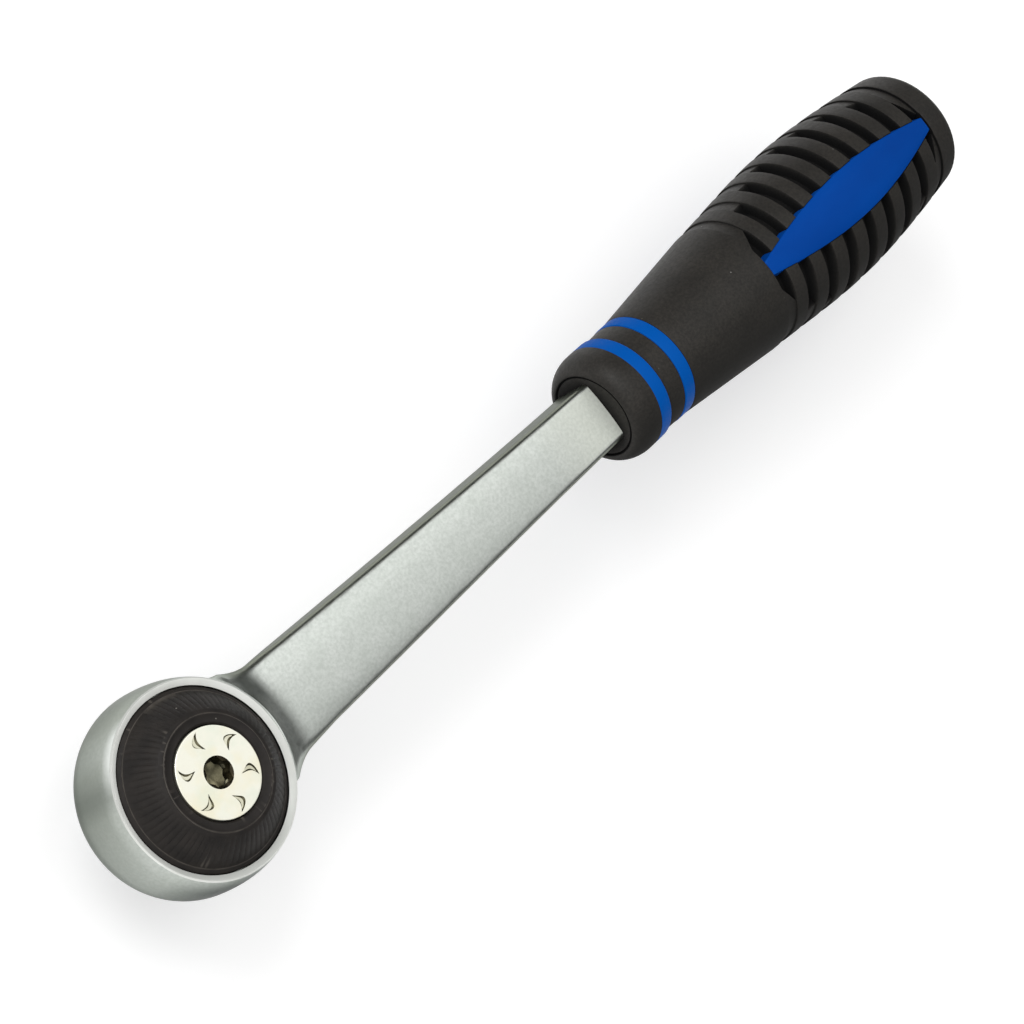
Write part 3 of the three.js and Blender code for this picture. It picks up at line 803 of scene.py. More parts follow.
class Draft:
    """Points in millimetres and faces that become one object."""

    def __init__(self) -> None:
        """Starts empty."""
        self.points: list[np.ndarray] = []
        self.faces: list[tuple[int, ...]] = []
        self.count = 0

    def add(self, points: np.ndarray) -> np.ndarray:
        """Adds points.

        Args:
            points: Coordinates, the last axis being x, y and z.

        Returns:
            Their numbers, in the same layout.
        """
        flat = np.asarray(points, float).reshape(-1, 3)
        numbers = np.arange(self.count, self.count + len(flat))
        self.points.append(flat)
        self.count += len(flat)
        return numbers.reshape(np.shape(points)[:-1])

    def sheet(self, rows: np.ndarray, around: bool = True, along: bool = False) -> np.ndarray:
        """Adds a grid of points joined by four-sided faces.

        Args:
            rows: Points in rows and columns.
            around: Whether the last column joins the first.
            along: Whether the last row joins the first.

        Returns:
            The points' numbers in rows and columns.
        """
        numbers = self.add(rows)
        height, width = numbers.shape
        for row in range(height if along else height - 1):
            upper = (row + 1) % height
            for column in range(width if around else width - 1):
                beside = (column + 1) % width
                face = numbers[[row, row, upper, upper], [column, beside, beside, column]]
                self.cap(face)
        return numbers

    def fan(self, ring: np.ndarray, tip: Sequence[float]) -> None:
        """Closes a ring of points to one point.

        Args:
            ring: The ring's point numbers.
            tip: The point in its middle.
        """
        middle = int(self.add(np.array([tip]))[0])
        for first, second in zip(ring, np.roll(ring, -1)):
            self.faces.append((int(first), int(second), middle))

    def cap(self, ring: np.ndarray) -> None:
        """Closes a ring of points with one face."""
        self.faces.append(tuple(ring.tolist()))

    def turned(
        self, profile: Profile, sides: int, about: Turn = Turn.DRIVE_AXIS, ring: bool = False
    ) -> None:
        """Turns a profile of radius and height, closed at the axis or into a ring.

        Args:
            profile: Radius and place along the axis of each point.
            sides: Points around.
            about: The axis.
            ring: Whether the last point joins the first.
        """
        spin = np.linspace(0, 2 * math.pi, sides, endpoint=False)
        core = [point for point in profile if point[0] > 1e-6]
        rows = np.array([round_row(radius, along, spin, about) for radius, along in core])
        numbers = self.sheet(rows, along=ring)
        if ring:
            return
        for end, point in ((0, profile[0]), (-1, profile[-1])):
            middle = round_row(0.0, point[1], spin[:1], about)[0]
            self.fan(numbers[end], middle)

    def prism(self, outline: Profile, low: float, high: float) -> None:
        """Adds an upright block with a given outline.

        Args:
            outline: Its corners seen from above.
            low: Height of its foot.
            high: Height of its top.
        """
        flat = np.array(outline)
        rows = np.array([np.column_stack((flat, np.full(len(flat), z))) for z in (low, high)])
        numbers = self.sheet(rows)
        for ring in numbers:
            self.cap(ring)

    def finish(self, name: str, sharp: float = 35.0) -> Piece:
        """Makes the object, with faces turned outwards and smooth shading between sharp edges.

        Args:
            name: The object's name.
            sharp: Angle in degrees from which an edge stays sharp.

        Returns:
            The object.
        """
        mesh = bpy.data.meshes.new(name)
        places = np.concatenate(self.points) * MILLIMETRE
        mesh.from_pydata(places.tolist(), [], self.faces)
        mesh.validate()
        piece = placed(name, mesh)
        tidy(piece, sharp)
        return piece


def round_row(
    radius: float | np.ndarray,
    along: float | np.ndarray,
    spin: np.ndarray,
    about: Turn = Turn.DRIVE_AXIS,
) -> np.ndarray:
    """Gives a row of points once round one of the two axes.

    Args:
        radius: Their distance from the axis, one for all or one for each.
        along: Their place along the axis, one for all or one for each.
        spin: Their angles.
        about: The axis.

    Returns:
        The points.
    """
    wide = radius * np.cos(spin)
    deep = radius * np.sin(spin)
    flat = np.full(len(spin), along)
    if about is Turn.DRIVE_AXIS:
        return np.column_stack((wide, deep, flat))
    return np.column_stack((flat, deep, AXIS_HEIGHT + wide))


def circle(radius: float, sides: int, middle: Pair = (0.0, 0.0)) -> Profile:
    """Gives the points of a round outline seen from above."""
    spin = np.linspace(0, 2 * math.pi, sides, endpoint=False)
    return [(middle[0] + radius * math.cos(a), middle[1] + radius * math.sin(a)) for a in spin]


def on_orbit(radius: float, degrees: float) -> Pair:
    """Gives the point at a distance and an angle from the drive's axis, seen from above."""
    turn = math.radians(degrees)
    return radius * math.cos(turn), radius * math.sin(turn)


def tidy(piece: Piece, sharp: float) -> None:
    """Turns faces outwards, joins doubled points and shades smoothly between sharp edges.

    Args:
        piece: The object.
        sharp: Angle in degrees from which an edge stays sharp.
    """
    work = bmesh.new()
    work.from_mesh(piece.data)
    bmesh.ops.remove_doubles(work, verts=work.verts, dist=1e-7)
    bmesh.ops.recalc_face_normals(work, faces=work.faces)
    work.to_mesh(piece.data)
    work.free()
    piece.data.shade_smooth()
    piece.data.set_sharp_from_angle(angle=math.radians(sharp))


class Cut(Enum):
    """How one solid changes another."""

    AWAY = "DIFFERENCE"
    JOIN = "UNION"


def carve(piece: Piece, tool: Piece, how: Cut, sharp: float = 35.0) -> None:
    """Cuts a solid with another one, or joins them, and removes the other.

    Args:
        piece: The solid that is kept.
        tool: The solid that is used up.
        how: Whether it is cut away or joined.
        sharp: Angle in degrees from which an edge stays sharp.
    """
    step = piece.modifiers.new("carve", "BOOLEAN")
    step.operation = how.value
    step.solver = "EXACT"
    step.object = tool
    view = bpy.context.evaluated_depsgraph_get()
    shaped = bpy.data.meshes.new_from_object(piece.evaluated_get(view))
    piece.modifiers.clear()
    old = piece.data
    piece.data = shaped
    bpy.data.meshes.remove(old)
    spent = tool.data
    bpy.data.objects.remove(tool)
    bpy.data.meshes.remove(spent)
    tidy(piece, sharp)


def dress(piece: Piece, body: Body, slot: Slot, finish: Finish, *nodes: str) -> Piece:
    """Gives a piece its finish and its body, and hides the solids that it stands for.

    Args:
        piece: The piece.
        body: What it moves with.
        slot: The record's slot of its finish; not used.
        finish: Its material.
        *nodes: The solids that it stands for.

    Returns:
        The piece.
    """
    piece.data.materials.clear()
    piece.data.materials.append(finish)
    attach(piece, body.value)
    if nodes:
        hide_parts(*nodes)
    LOG.info("%s: %d faces on %s", piece.name, len(piece.data.polygons), body.value)
    return piece


def paint_where(piece: Piece, finish: Finish, chosen: Callable[[Vector, Vector], bool]) -> None:
    """Gives some faces of a piece a second finish.

    Args:
        piece: The piece.
        finish: The second finish.
        chosen: Tells from a face's middle and direction whether it gets the finish.
    """
    piece.data.materials.append(finish)
    last = len(piece.data.materials) - 1
    for face in piece.data.polygons:
        if chosen(face.center, face.normal):
            face.material_index = last


def skin(distance: Distance, low: Point, high: Point, step: float) -> tuple[np.ndarray, np.ndarray]:
    """Finds the surface on which a distance is zero.

    Args:
        distance: Gives each point's distance to the surface, less than zero inside.
        low: Lowest corner of the space that is searched.
        high: Highest corner.
        step: Size of a cell.

    Returns:
        The surface's points and its four-sided faces.
    """
    axes = [np.arange(start, end + step, step) for start, end in zip(low, high)]
    value = distance(np.stack(np.meshgrid(*axes, indexing="ij"), axis=-1))
    inside = value < 0
    cells = tuple(size - 1 for size in value.shape)
    corners = np.array(list(itertools.product((0, 1), repeat=3)))
    total = sum(inside[tuple(slice(s, s + n) for s, n in zip(c, cells))].astype(int) for c in corners)
    active = np.argwhere((total > 0) & (total < 8))
    number = np.full(cells, -1)
    number[tuple(active.T)] = np.arange(len(active))
    place = np.zeros((len(active), 3))
    count = np.zeros(len(active))
    for axis in range(3):
        for corner in corners[corners[:, axis] == 0]:
            near = active + corner
            far = near + np.eye(3, dtype=int)[axis]
            first = value[tuple(near.T)]
            second = value[tuple(far.T)]
            crosses = (first < 0) != (second < 0)
            part = np.where(crosses, first / np.where(crosses, first - second, 1), 0)
            spot = near + part[:, None] * np.eye(3)[axis]
            place += np.where(crosses[:, None], spot, 0)
            count += crosses
    points = np.array(low) + step * place / count[:, None]
    faces = []
    for axis in range(3):
        beside = [(axis + 1) % 3, (axis + 2) % 3]
        ahead = np.take(inside, range(1, value.shape[axis]), axis)
        behind = np.take(inside, range(value.shape[axis] - 1), axis)
        edge = np.argwhere(ahead != behind)
        edge = edge[(edge[:, beside[0]] > 0) & (edge[:, beside[1]] > 0)]
        ring = []
        for back in ((0, 0), (1, 0), (1, 1), (0, 1)):
            cell = edge.copy()
            cell[:, beside[0]] -= back[0]
            cell[:, beside[1]] -= back[1]
            ring.append(number[tuple(cell.T)])
        faces.append(np.column_stack(ring))
    return settle(distance, points, step), np.concatenate(faces)


def settle(distance: Distance, points: np.ndarray, step: float) -> np.ndarray:
    """Moves points exactly onto the surface on which a distance is zero.

    Args:
        distance: Gives each point's distance to the surface.
        points: Points near it.
        step: The furthest that a point may move at once.

    Returns:
        The moved points.
    """
    reach = 0.02
    rounds = 3
    flattest = 0.05
    moves = np.eye(3) * reach
    for _ in range(rounds):
        rises = [distance(points + move) - distance(points - move) for move in moves]
        slope = np.stack([rise / (2 * reach) for rise in rises], axis=-1)
        length = np.maximum((slope ** 2).sum(axis=1), flattest)
        shift = np.clip(distance(points) / length, -step, step)
        points = points - shift[:, None] * slope
    return points


@dataclass
class Head:
    """The forging: the bowl with its toothed chamber, the neck and the tapered shank."""

    bowl_radius: float = 20.55
    rim_radius: float = 19.26
    foot_radius: float = 12.0
    rim_rise: float = 3.05
    widest: float = -7.5
    bottom: float = -17.2
    side_power: float = 2.6
    neck_end: float = 26.8
    neck_fillet: float = 22.0
    neck_half: float = 9.55
    neck_reach: float = 15.84
    flare_end: float = 33.0
    flare_fillet: float = 30.0
    flare_reach: float = 15.4
    flare_heights: Pair = (-3.5, 0.5)
    shank_end: float = 124.4
    taper_end: float = 122.4
    shank_half: float = 6.72
    neck_top: float = 2.0
    shank_rise: float = 2.7
    neck_under: float = -7.5
    under_rise: float = 0.7
    neck_dip: float = 1.0
    dip_end: float = 58.0
    crown: float = 1.15
    crown_end: float = 0.5
    edge: float = 1.0
    neck_edge: float = 3.3
    lip_slope: float = 0.345
    lip_run: float = 3.0
    lip_end: float = 7.5
    lip_limit: float = 6.0
    blend: float = 1.3
    top_blend: float = 0.4
    blend_heights: Pair = (1.5, -1.5)
    above_rim: float = 1.4
    taper_power: float = 1.3
    crown_power: float = 2.4
    crown_limit: float = 1.2
    under_crown: float = 0.7
    under_drop: float = 5.0
    under_run: float = 13.0
    edge_behind: float = 5.0
    edge_before: float = 3.0
    shank_start: float = 6.0
    rim_cut: float = 0.2
    land_fall: float = 0.88
    land_reach: float = 1.2
    land_facing: float = 0.6
    land_edge: float = 0.36
    crest_run: float = 0.5
    crest_fall: float = 0.8
    bevel_run: float = 0.1
    bevel_fall: float = 0.22
    fade_run: float = 0.45
    fade_fall: float = 0.16
    clear_radius: float = 24.0
    clear_heights: Pair = (1.0, 6.0)
    clear_below: float = 1.0
    teeth: int = 48
    tooth_tip: float = 15.2
    tooth_root: float = 16.1
    tooth_corners: tuple[float, ...] = (-2.85, -1.3, 1.3, 2.85)
    tooth_low: float = 18.3
    tooth_high: float = 27.8
    groove_radius: float = 16.9
    groove_high: float = 29.2
    recess_radius: float = 17.91
    recess_floor: float = 30.9
    bore_radius: float = 11.0
    bore_low: float = 15.1
    chamfer: float = 0.3
    cell: float = 0.42
    quick_cell: float = 0.9
    room_front: float = -22.0
    room_half: float = 21.6
    room_below: float = 1.1
    room_behind: float = 1.5
    room_above: float = 3.5
    sharp: float = 28.0

    def bowl_distance(self, out: np.ndarray, high: np.ndarray) -> np.ndarray:
        """Gives the distance to the bowl.

        Args:
            out: Distance from the drive's axis.
            high: Height above the handle's axis.

        Returns:
            The distance, less than zero inside.
        """
        wide = self.bowl_radius - self.foot_radius
        deep = self.widest - self.bottom
        across = np.maximum(out - self.foot_radius, 0) / wide
        down = np.maximum(self.widest - high, 0) / deep
        size = np.maximum(np.hypot(across, down), 1e-6)
        slope = np.maximum(np.hypot(across / wide, down / deep) / size, 1e-6)
        below = (size - 1) / slope
        part = np.maximum(high - self.widest, 0) / (self.rim_rise - self.widest)
        fall = self.bowl_radius - self.rim_radius
        lean = fall * self.side_power * part ** (self.side_power - 1) / (self.rim_rise - self.widest)
        side = (out - self.bowl_radius + fall * part ** self.side_power) / np.sqrt(1 + lean ** 2)
        above = np.maximum(side, high - self.rim_rise - self.above_rim)
        return np.where(high < self.widest, below, above)

    def shank_distance(self, x: np.ndarray, y: np.ndarray, z: np.ndarray) -> np.ndarray:
        """Gives the distance to the neck and the shank.

        Args:
            x: Place along the handle.
            y: Place across it.
            z: Height above the handle's axis.

        Returns:
            The distance, less than zero inside.
        """
        part = np.clip((x - self.neck_end) / (self.taper_end - self.neck_end), 0, 1)
        near = np.clip(self.neck_end - x, 0, self.neck_reach)
        flare = self.neck_fillet - np.sqrt(self.neck_fillet ** 2 - near ** 2)
        wide = np.clip(self.flare_end - x, 0, self.flare_reach)
        above = self.flare_fillet - np.sqrt(self.flare_fillet ** 2 - wide ** 2)
        flare = flare + (above - flare) * smooth(*self.flare_heights, z)
        taper = (self.neck_half - self.shank_half) * (1 - part) ** self.taper_power
        half = self.shank_half + taper + flare
        out = np.hypot(x, y) - self.rim_radius
        lip_ease = self.lip_end - self.lip_run
        eased_part = np.clip(self.lip_end - out, 0, lip_ease)
        lip = eased_part ** 2 / (2 * lip_ease) + np.clip(self.lip_run - out, 0, self.lip_limit)
        across = np.clip(np.abs(y) / half, 0, self.crown_limit)
        crown = (self.crown + (self.crown_end - self.crown) * part) * across ** self.crown_power
        dip = self.neck_dip * smooth(self.dip_end, self.neck_end, x)
        top = self.neck_top + self.shank_rise * part + self.lip_slope * lip - crown - dip
        under = self.neck_under + self.under_rise * part - self.under_drop * (near / self.under_run) ** 2
        under = under + self.under_crown * crown
        middle = (top + under) / 2
        tall = (top - under) / 2
        edge_ends = (self.neck_end + self.edge_behind, self.rim_radius - self.edge_before)
        edge = self.edge + self.neck_edge * smooth(*edge_ends, x)
        beside = np.abs(y) - half + edge
        over = np.abs(z - middle) - tall + edge
        outside = np.hypot(np.maximum(beside, 0), np.maximum(over, 0))
        round_box = outside + np.minimum(np.maximum(beside, over), 0) - edge
        return np.maximum(round_box, np.maximum(x - self.shank_end, self.shank_start - x))

    def distance(self, points: np.ndarray) -> np.ndarray:
        """Gives the distance to the whole forging, with a fillet where its parts meet.

        Args:
            points: Points in millimetres, heights counted from the handle's axis.

        Returns:
            The distance, less than zero inside.
        """
        x, y, z = points[..., 0], points[..., 1], points[..., 2]
        bowl = self.bowl_distance(np.hypot(x, y), z)
        shank = self.shank_distance(x, y, z)
        blend = self.top_blend + (self.blend - self.top_blend) * smooth(*self.blend_heights, z)
        near = np.maximum(blend - np.abs(bowl - shank), 0) / blend
        return np.minimum(bowl, shank) - near ** 2 * blend / 4

    def chamber(self) -> Piece:
        """Builds the solid that is cut away for the drive, the teeth and the dial.

        Returns:
            The solid.
        """
        gaps = np.arange(self.teeth) * 360 / self.teeth
        spin = np.radians(np.add.outer(gaps, self.tooth_corners).ravel())
        tooth = (self.tooth_tip, self.tooth_root, self.tooth_root, self.tooth_tip)
        toothed = np.tile(tooth, self.teeth)
        level = RIM_HEIGHT - self.rim_cut
        crest = RIM_HEIGHT - self.crest_fall * self.rim_cut
        stack: list[tuple[float | np.ndarray, float]] = [
            (self.bore_radius + self.chamfer, self.bore_low - self.clear_below),
            (self.bore_radius + self.chamfer, self.bore_low),
            (self.bore_radius, self.bore_low + self.chamfer),
            (self.bore_radius, self.tooth_low),
            (toothed, self.tooth_low),
            (toothed, self.tooth_high),
            (self.groove_radius, self.tooth_high),
            (self.groove_radius, self.groove_high),
            (self.tooth_root, self.groove_high),
            (self.tooth_root, self.recess_floor),
            (self.recess_radius, self.recess_floor),
            (self.recess_radius, RIM_HEIGHT - self.land_fall),
            (self.rim_radius - self.land_edge, level),
            (self.rim_radius - self.crest_run * self.land_edge, crest),
            (self.rim_radius + self.bevel_run, level - self.bevel_fall),
            (self.rim_radius + self.fade_run, level - self.fade_fall),
            *[(self.clear_radius, RIM_HEIGHT + rise) for rise in self.clear_heights],
        ]
        draft = Draft()
        numbers = draft.sheet(np.array([round_row(radius, height, spin) for radius, height in stack]))
        draft.fan(numbers[0], (0, 0, stack[0][1]))
        draft.fan(numbers[-1], (0, 0, stack[-1][1]))
        return draft.finish("chamber")

    def build(self, finish: Finish, land: Finish) -> None:
        """Builds the forging and cuts its chamber.

        Args:
            finish: Its plating.
            land: The finish of the turned rim.
        """
        step = self.cell
        low = (self.room_front, -self.room_half, self.bottom - self.room_below)
        high = (self.shank_end + self.room_behind, self.room_half, self.rim_rise + self.room_above)
        points, faces = skin(self.distance, low, high, step)
        draft = Draft()
        draft.add(points + np.array((0, 0, AXIS_HEIGHT)))
        draft.faces = [tuple(face) for face in faces.tolist()]
        piece = draft.finish("forged_head")
        carve(piece, self.chamber(), Cut.AWAY, self.sharp)
        dress(piece, Body.HANDLE, Slot.CHROME, finish, "head_housing")
        edge = (RIM_HEIGHT - self.land_reach * self.land_fall) * MILLIMETRE
        outer = self.rim_radius * MILLIMETRE

        def turned(centre: Vector, normal: Vector) -> bool:
            """Tells whether a face lies on the turned rim."""
            return centre.z > edge and centre.xy.length < outer and normal.z > self.land_facing

        paint_where(piece, land, turned)


@dataclass
class Dial:
    """The domed reversing dial with its fine radial ridges."""

    radius: float = 17.71
    low: float = 31.1
    bore: float = 6.2
    seat_radius: float = 9.22
    seat: float = 37.64
    wall_top: float = 34.3
    brim: tuple[Corner, ...] = ((17.0, 34.88, 0.1), (16.86, 34.84, 0.05), (16.74, 35.02, 0.05))
    slope: tuple[Pair, ...] = ((16.35, 35.42), (15.5, 36.62), (14.5, 37.86), (13.5, 38.92), (12.75, 39.62))
    shoulder: tuple[Corner, ...] = ((12.1, 40.12, 0.25), (11.42, 40.42, 0.12), (11.3, 40.36, 0.04))
    crest: tuple[Corner, ...] = ((11.16, 40.5, 0.05), (10.96, 40.5, 0.05), (10.86, 40.42, 0.0))
    mouth: tuple[Corner, ...] = ((9.57, 40.42, 0.0), (9.22, 40.1, 0.1))
    ease: float = 0.2
    ease_steps: int = 3
    ridges: int = 72
    ridge_depth: float = 0.17
    ridge_steps: int = 8
    ridge_power: float = 1.5
    ridge_outer: Pair = (16.6, 16.2)
    ridge_inner: Pair = (12.35, 12.95)
    ridge_low: float = 35.0
    ridge_inward: float = 0.75
    ridge_downward: float = 0.65
    post_radius: float = 1.5
    post_orbit: float = 10.0
    post_angle: float = 130.0
    post_low: float = 29.5
    post_root: float = 0.8
    post_sides: int = 32
    sharp: float = 40.0

    def profile(self) -> Profile:
        """Gives the dial's outline.

        Returns:
            Radii and heights, from its bore round to its seat.
        """
        corners: list[Corner] = [
            (self.bore, self.low, 0.0),
            (self.radius, self.low, self.ease),
            (self.radius, self.wall_top, self.ease),
            *self.brim,
            *[(out, high, 0.0) for out, high in self.slope],
            *self.shoulder,
            *self.crest,
            *self.mouth,
            (self.seat_radius, self.seat, self.ease),
            (self.bore, self.seat, self.ease),
        ]
        return eased(corners, self.ease_steps)

    def build(self, finish: Finish) -> None:
        """Builds the dial with its ridges and its two drive posts.

        Args:
            finish: Its moulding.
        """
        sides = self.ridges * self.ridge_steps
        spin = np.linspace(0, 2 * math.pi, sides, endpoint=False)
        valley = (1 - np.abs(np.sin(spin * self.ridges / 2))) ** self.ridge_power
        rows = []
        for out, high in self.profile():
            along = np.array(out)
            share = smooth(*self.ridge_outer, along) * smooth(*self.ridge_inner, along)
            depth = float(share) * self.ridge_depth * valley * (high > self.ridge_low)
            radius = out - self.ridge_inward * depth
            rows.append(round_row(radius, high - self.ridge_downward * depth, spin))
        draft = Draft()
        draft.sheet(np.array(rows), along=True)
        piece = draft.finish("serrated_dial", self.sharp)
        for angle in (self.post_angle, self.post_angle + 180):
            outline = circle(self.post_radius, self.post_sides, on_orbit(self.post_orbit, angle))
            post = Draft()
            post.prism(outline, self.post_low, self.low + self.post_root)
            carve(piece, post.finish("post"), Cut.JOIN, self.sharp)
        dress(piece, Body.DIAL, Slot.DIAL_BLACK, finish, "reversing_dial")


@dataclass
class Screw:
    """The plated screw that holds the dial, with a six-lobe socket and six crescent hollows."""

    radius: float = 8.97
    flat_radius: float = 8.6
    top: float = 40.54
    low: float = 38.54
    edge: float = 0.28
    ease: float = 0.2
    shank_radius: float = 2.9
    shank_length: float = 12.0
    shank_chamfer: float = 0.5
    socket_radius: float = 3.1
    socket_depth: float = 3.2
    socket_cone: float = 0.8
    socket_sides: int = 96
    lobes: int = 6
    lobe_middle: float = 0.89
    lobe_swing: float = 0.09
    mouth_share: float = 1.02
    mouth_fall: float = 0.2
    clear: float = 1.0
    hollow_count: int = 6
    hollow_depth: float = 0.34
    hollow_inner: float = 4.8
    hollow_outer: float = 8.45
    hollow_turn: float = 20.0
    hollow_bulge: float = 18.0
    hollow_hollow: float = 6.0
    hollow_inset: float = 0.27
    hollow_clear: float = 0.5
    tip_inset: float = 0.4
    outline_steps: int = 13
    sides: int = 160
    sharp: float = 12.0
    steep: float = 0.5
    level: float = 0.9
    wall_play: float = 0.1
    face_play: float = 0.05

    def socket(self) -> Piece:
        """Builds the solid cut away for the six-lobe socket.

        Returns:
            The solid.
        """
        spin = np.linspace(0, 2 * math.pi, self.socket_sides, endpoint=False)
        lobes = self.socket_radius * (self.lobe_middle + self.lobe_swing * np.cos(self.lobes * spin))
        mouth = self.socket_radius * self.mouth_share
        stack = ((mouth, self.clear), (mouth, 0.0), (lobes, -self.mouth_fall), (lobes, -self.socket_depth))
        draft = Draft()
        numbers = draft.sheet(np.array([round_row(reach, self.top + high, spin) for reach, high in stack]))
        draft.fan(numbers[0], (0, 0, self.top + self.clear))
        draft.fan(numbers[-1], (0, 0, self.top - self.socket_depth - self.socket_cone))
        return draft.finish("socket")

    def crescent(self, start: float, inset: float) -> np.ndarray:
        """Gives the outline of one crescent.

        Args:
            start: Angle of its tips in degrees.
            inset: How far the outline is drawn in, as a share of the crescent's width.

        Returns:
            The outline's points.
        """
        parts = np.linspace(self.tip_inset * inset, 1 - self.tip_inset * inset, self.outline_steps)
        middle = (self.hollow_bulge + self.hollow_hollow) / 2
        edges = []
        for bulge in (self.hollow_bulge, self.hollow_hollow):
            lean = middle + (bulge - middle) * (1 - 2 * inset)
            turn = np.radians(start + lean * np.sin(math.pi * parts))
            out = self.hollow_inner + (self.hollow_outer - self.hollow_inner) * parts
            edges.append(np.column_stack((out * np.cos(turn), out * np.sin(turn))))
        return np.concatenate((edges[0], edges[1][::-1][1:-1]))

    def hollows(self) -> Piece:
        """Builds the solids cut away for the crescents, with sloped walls.

        Returns:
            The solids as one object.
        """
        draft = Draft()
        stack = ((0.0, self.hollow_clear), (0.0, 0.0), (self.hollow_inset, -self.hollow_depth))
        for index in range(self.hollow_count):
            start = self.hollow_turn + 360 * index / self.hollow_count
            rows = []
            for inset, high in stack:
                outline = self.crescent(start, inset)
                rows.append(np.column_stack((outline, np.full(len(outline), self.top + high))))
            numbers = draft.sheet(np.array(rows))
            count = len(rows[0])
            for ring in (numbers[0], numbers[-1]):
                for step in range(count // 2):
                    left = (int(ring[step]), int(ring[step + 1]))
                    right = (int(ring[(count - step - 1) % count]), int(ring[(count - step) % count]))
                    draft.faces.append(tuple(dict.fromkeys((*left, *right))))
        return draft.finish("hollows")

    def build(self, finish: Finish, pale_painted_shade: Finish, deeper_painted_shade: Finish, dark: Finish) -> None:
        """Builds the screw.

        Args:
            finish: Its plating.
            pale_painted_shade: The finish of its crescents' floors.
            deeper_painted_shade: The finish of its crescents' walls and of its socket's floor.
            dark: The finish of its socket's walls.
        """
        tip = self.low - self.shank_length
        corners: list[Corner] = [
            (0.0, tip, 0.0),
            (self.shank_radius - self.shank_chamfer, tip, 0.0),
            (self.shank_radius, tip + self.shank_chamfer, 0.0),
            (self.shank_radius, self.low, self.ease),
            (self.radius, self.low, self.ease),
            (self.radius, self.top, self.edge),
            (self.flat_radius, self.top, 0.0),
            (0.0, self.top, 0.0),
        ]
        draft = Draft()
        draft.turned(eased(corners), self.sides)
        piece = draft.finish("dial_fixing_screw")
        for tool in (self.socket(), self.hollows()):
            carve(piece, tool, Cut.AWAY, self.sharp)
        dress(piece, Body.DRIVE, Slot.ZINC, finish, "dial_screw")
        reach = (self.socket_radius + self.wall_play) * MILLIMETRE
        floor = (self.top - self.socket_depth - self.clear) * MILLIMETRE
        mouth = (self.top - self.face_play) * MILLIMETRE
        shallow = (self.top - self.clear) * MILLIMETRE

        def socket_wall(centre: Vector, normal: Vector) -> bool:
            """Tells whether a face is on the socket's wall."""
            inside = floor < centre.z < mouth and centre.xy.length < reach
            return inside and (normal.z < self.steep or centre.z > shallow)

        def within(centre: Vector) -> bool:
            """Tells whether a face lies in the socket or in a crescent."""
            return floor < centre.z < mouth and centre.xy.length < self.hollow_outer * MILLIMETRE

        def hollow_wall(centre: Vector, normal: Vector) -> bool:
            """Tells whether a face is on a crescent's wall or the socket's floor."""
            chosen = normal.z < self.level or centre.z < shallow
            return within(centre) and chosen and not socket_wall(centre, normal)

        def hollow_floor(centre: Vector, normal: Vector) -> bool:
            """Tells whether a face is on a crescent's floor."""
            return shallow < centre.z < mouth and centre.xy.length > reach and normal.z >= self.level

        # Painted shade in the hollows: darkest on the socket's walls, darker on the crescents' walls and
        # the socket's floor, lighter on the crescents' floors.
        paint_where(piece, dark, socket_wall)
        paint_where(piece, deeper_painted_shade, hollow_wall)
        paint_where(piece, pale_painted_shade, hollow_floor)


